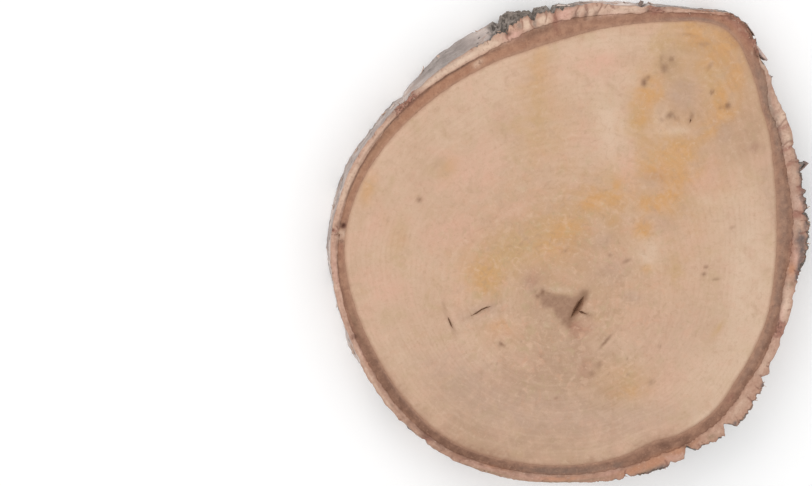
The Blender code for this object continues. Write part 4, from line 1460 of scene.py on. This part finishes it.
def peel_material():
    """A papery sheet: pale pinkish grey with fine dark lines across."""
    s = Surface("paper_bark", 0.7)
    streak = s.streaks(4, 110, 110, 800)
    sheet = s.between(s.noise(9 * MM, 3), 0.35, 0.65, (212, 193, 182), (176, 140, 118))
    colour = s.over(sheet, (streak, 0.52, 0.68, 0.6, (118, 96, 86)))
    return s.finish(colour, ((streak, 0.12 * MM, 0.7),))


def fibre_material():
    """Torn fibres, pale and brown."""
    s = Surface("fibres", 0.75)
    tint = s.noise(3 * MM)
    colour = s.between(tint, 0.35, 0.65, (216, 184, 162), (160, 112, 88))
    return s.finish(colour, ((tint, 0.1 * MM, 0.5),))


def dress(obj, material):
    obj.data.materials.append(material)
    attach(obj, "root")
    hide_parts("birch_slice")


FLOOR_HALF, FLOOR_DROP = 3.0, 0.1 * MM
FLOOR_WHITE = (0.98, 0.98, 0.98, 1)


def floor():
    mesh = bpy.data.meshes.new("floor")
    corners = [(-1, -1), (1, -1), (1, 1), (-1, 1)]
    points = [(x * FLOOR_HALF, y * FLOOR_HALF, -FLOOR_DROP) for x, y in corners]
    mesh.from_pydata(points, [], [(0, 1, 2, 3)])
    obj = add_object("floor", mesh)
    s = Surface("white_floor", 0.9)
    s.shader.inputs["Base Color"].default_value = FLOOR_WHITE
    obj.data.materials.append(s.material)


# The camera looks down on the face from its upper left, and the middle of the face lies at
# PHOTO_MIDDLE in the photo's 812 by 486 pixels.
PHOTO_WIDTH, PHOTO_HEIGHT = 812, 486
PHOTO_MIDDLE = (569.0, 245.0)
METRES_PER_PIXEL = 0.502 * MM
CAMERA_DISTANCE = 1.4
CAMERA_TILT, CAMERA_TURN = math.radians(11), math.radians(135)
SENSOR_MM = 36
FARTHEST_SEEN = 20
AIM_STEPS = 12


def camera():
    focal = CAMERA_DISTANCE / METRES_PER_PIXEL
    away = Vector((
        math.sin(CAMERA_TILT) * math.cos(CAMERA_TURN),
        math.sin(CAMERA_TILT) * math.sin(CAMERA_TURN),
        math.cos(CAMERA_TILT),
    ))
    pixel = Vector((PHOTO_MIDDLE[0] - PHOTO_WIDTH / 2, PHOTO_HEIGHT / 2 - PHOTO_MIDDLE[1], -focal))
    look = -away
    for _ in range(AIM_STEPS):
        right = look.cross(Vector((0, 1, 0))).normalized()
        turn = Matrix((right, right.cross(look), -look)).transposed()
        look = (turn @ pixel).rotation_difference(-away) @ look
    data = bpy.data.cameras.new("camera")
    data.sensor_fit = "HORIZONTAL"
    data.sensor_width = SENSOR_MM
    data.lens = focal * SENSOR_MM / PHOTO_WIDTH
    data.clip_end = FARTHEST_SEEN
    obj = add_object("camera", data)
    target = Vector(CENTRE) + Vector((0, 0, THICKNESS))
    obj.matrix_world = Matrix.Translation(target + away * CAMERA_DISTANCE) @ turn.to_4x4()
    bpy.context.scene.camera = obj


ROOM_STRENGTH = 0.97
WINDOW_PLACE, WINDOW_SIZE, WINDOW_POWER = (-0.9, 1.5, 1.3), 1.6, 12


def light_room():
    """An even white room with one large soft window."""
    world = bpy.data.worlds.new("studio")
    world.use_nodes = True
    background = world.node_tree.nodes["Background"]
    background.inputs["Color"].default_value = (1, 1, 1, 1)
    background.inputs["Strength"].default_value = ROOM_STRENGTH
    bpy.context.scene.world = world
    data = bpy.data.lights.new("window", "AREA")
    data.size = WINDOW_SIZE
    data.energy = WINDOW_POWER
    window = add_object("window", data)
    window.location = WINDOW_PLACE
    window.rotation_euler = (-Vector(WINDOW_PLACE)).to_track_quat("-Z", "Y").to_euler()
    bpy.context.scene.view_settings.view_transform = "Standard"


camera()
light_room()
floor()
dress(sawn_wood(), wood_material())
dress(inner_bark(), inner_bark_material())
dress(outer_bark(), outer_bark_material())
dress(torn_flakes(), flake_material())
dress(paper_peels(), peel_material())
dress(frayed_fibres(), fibre_material())
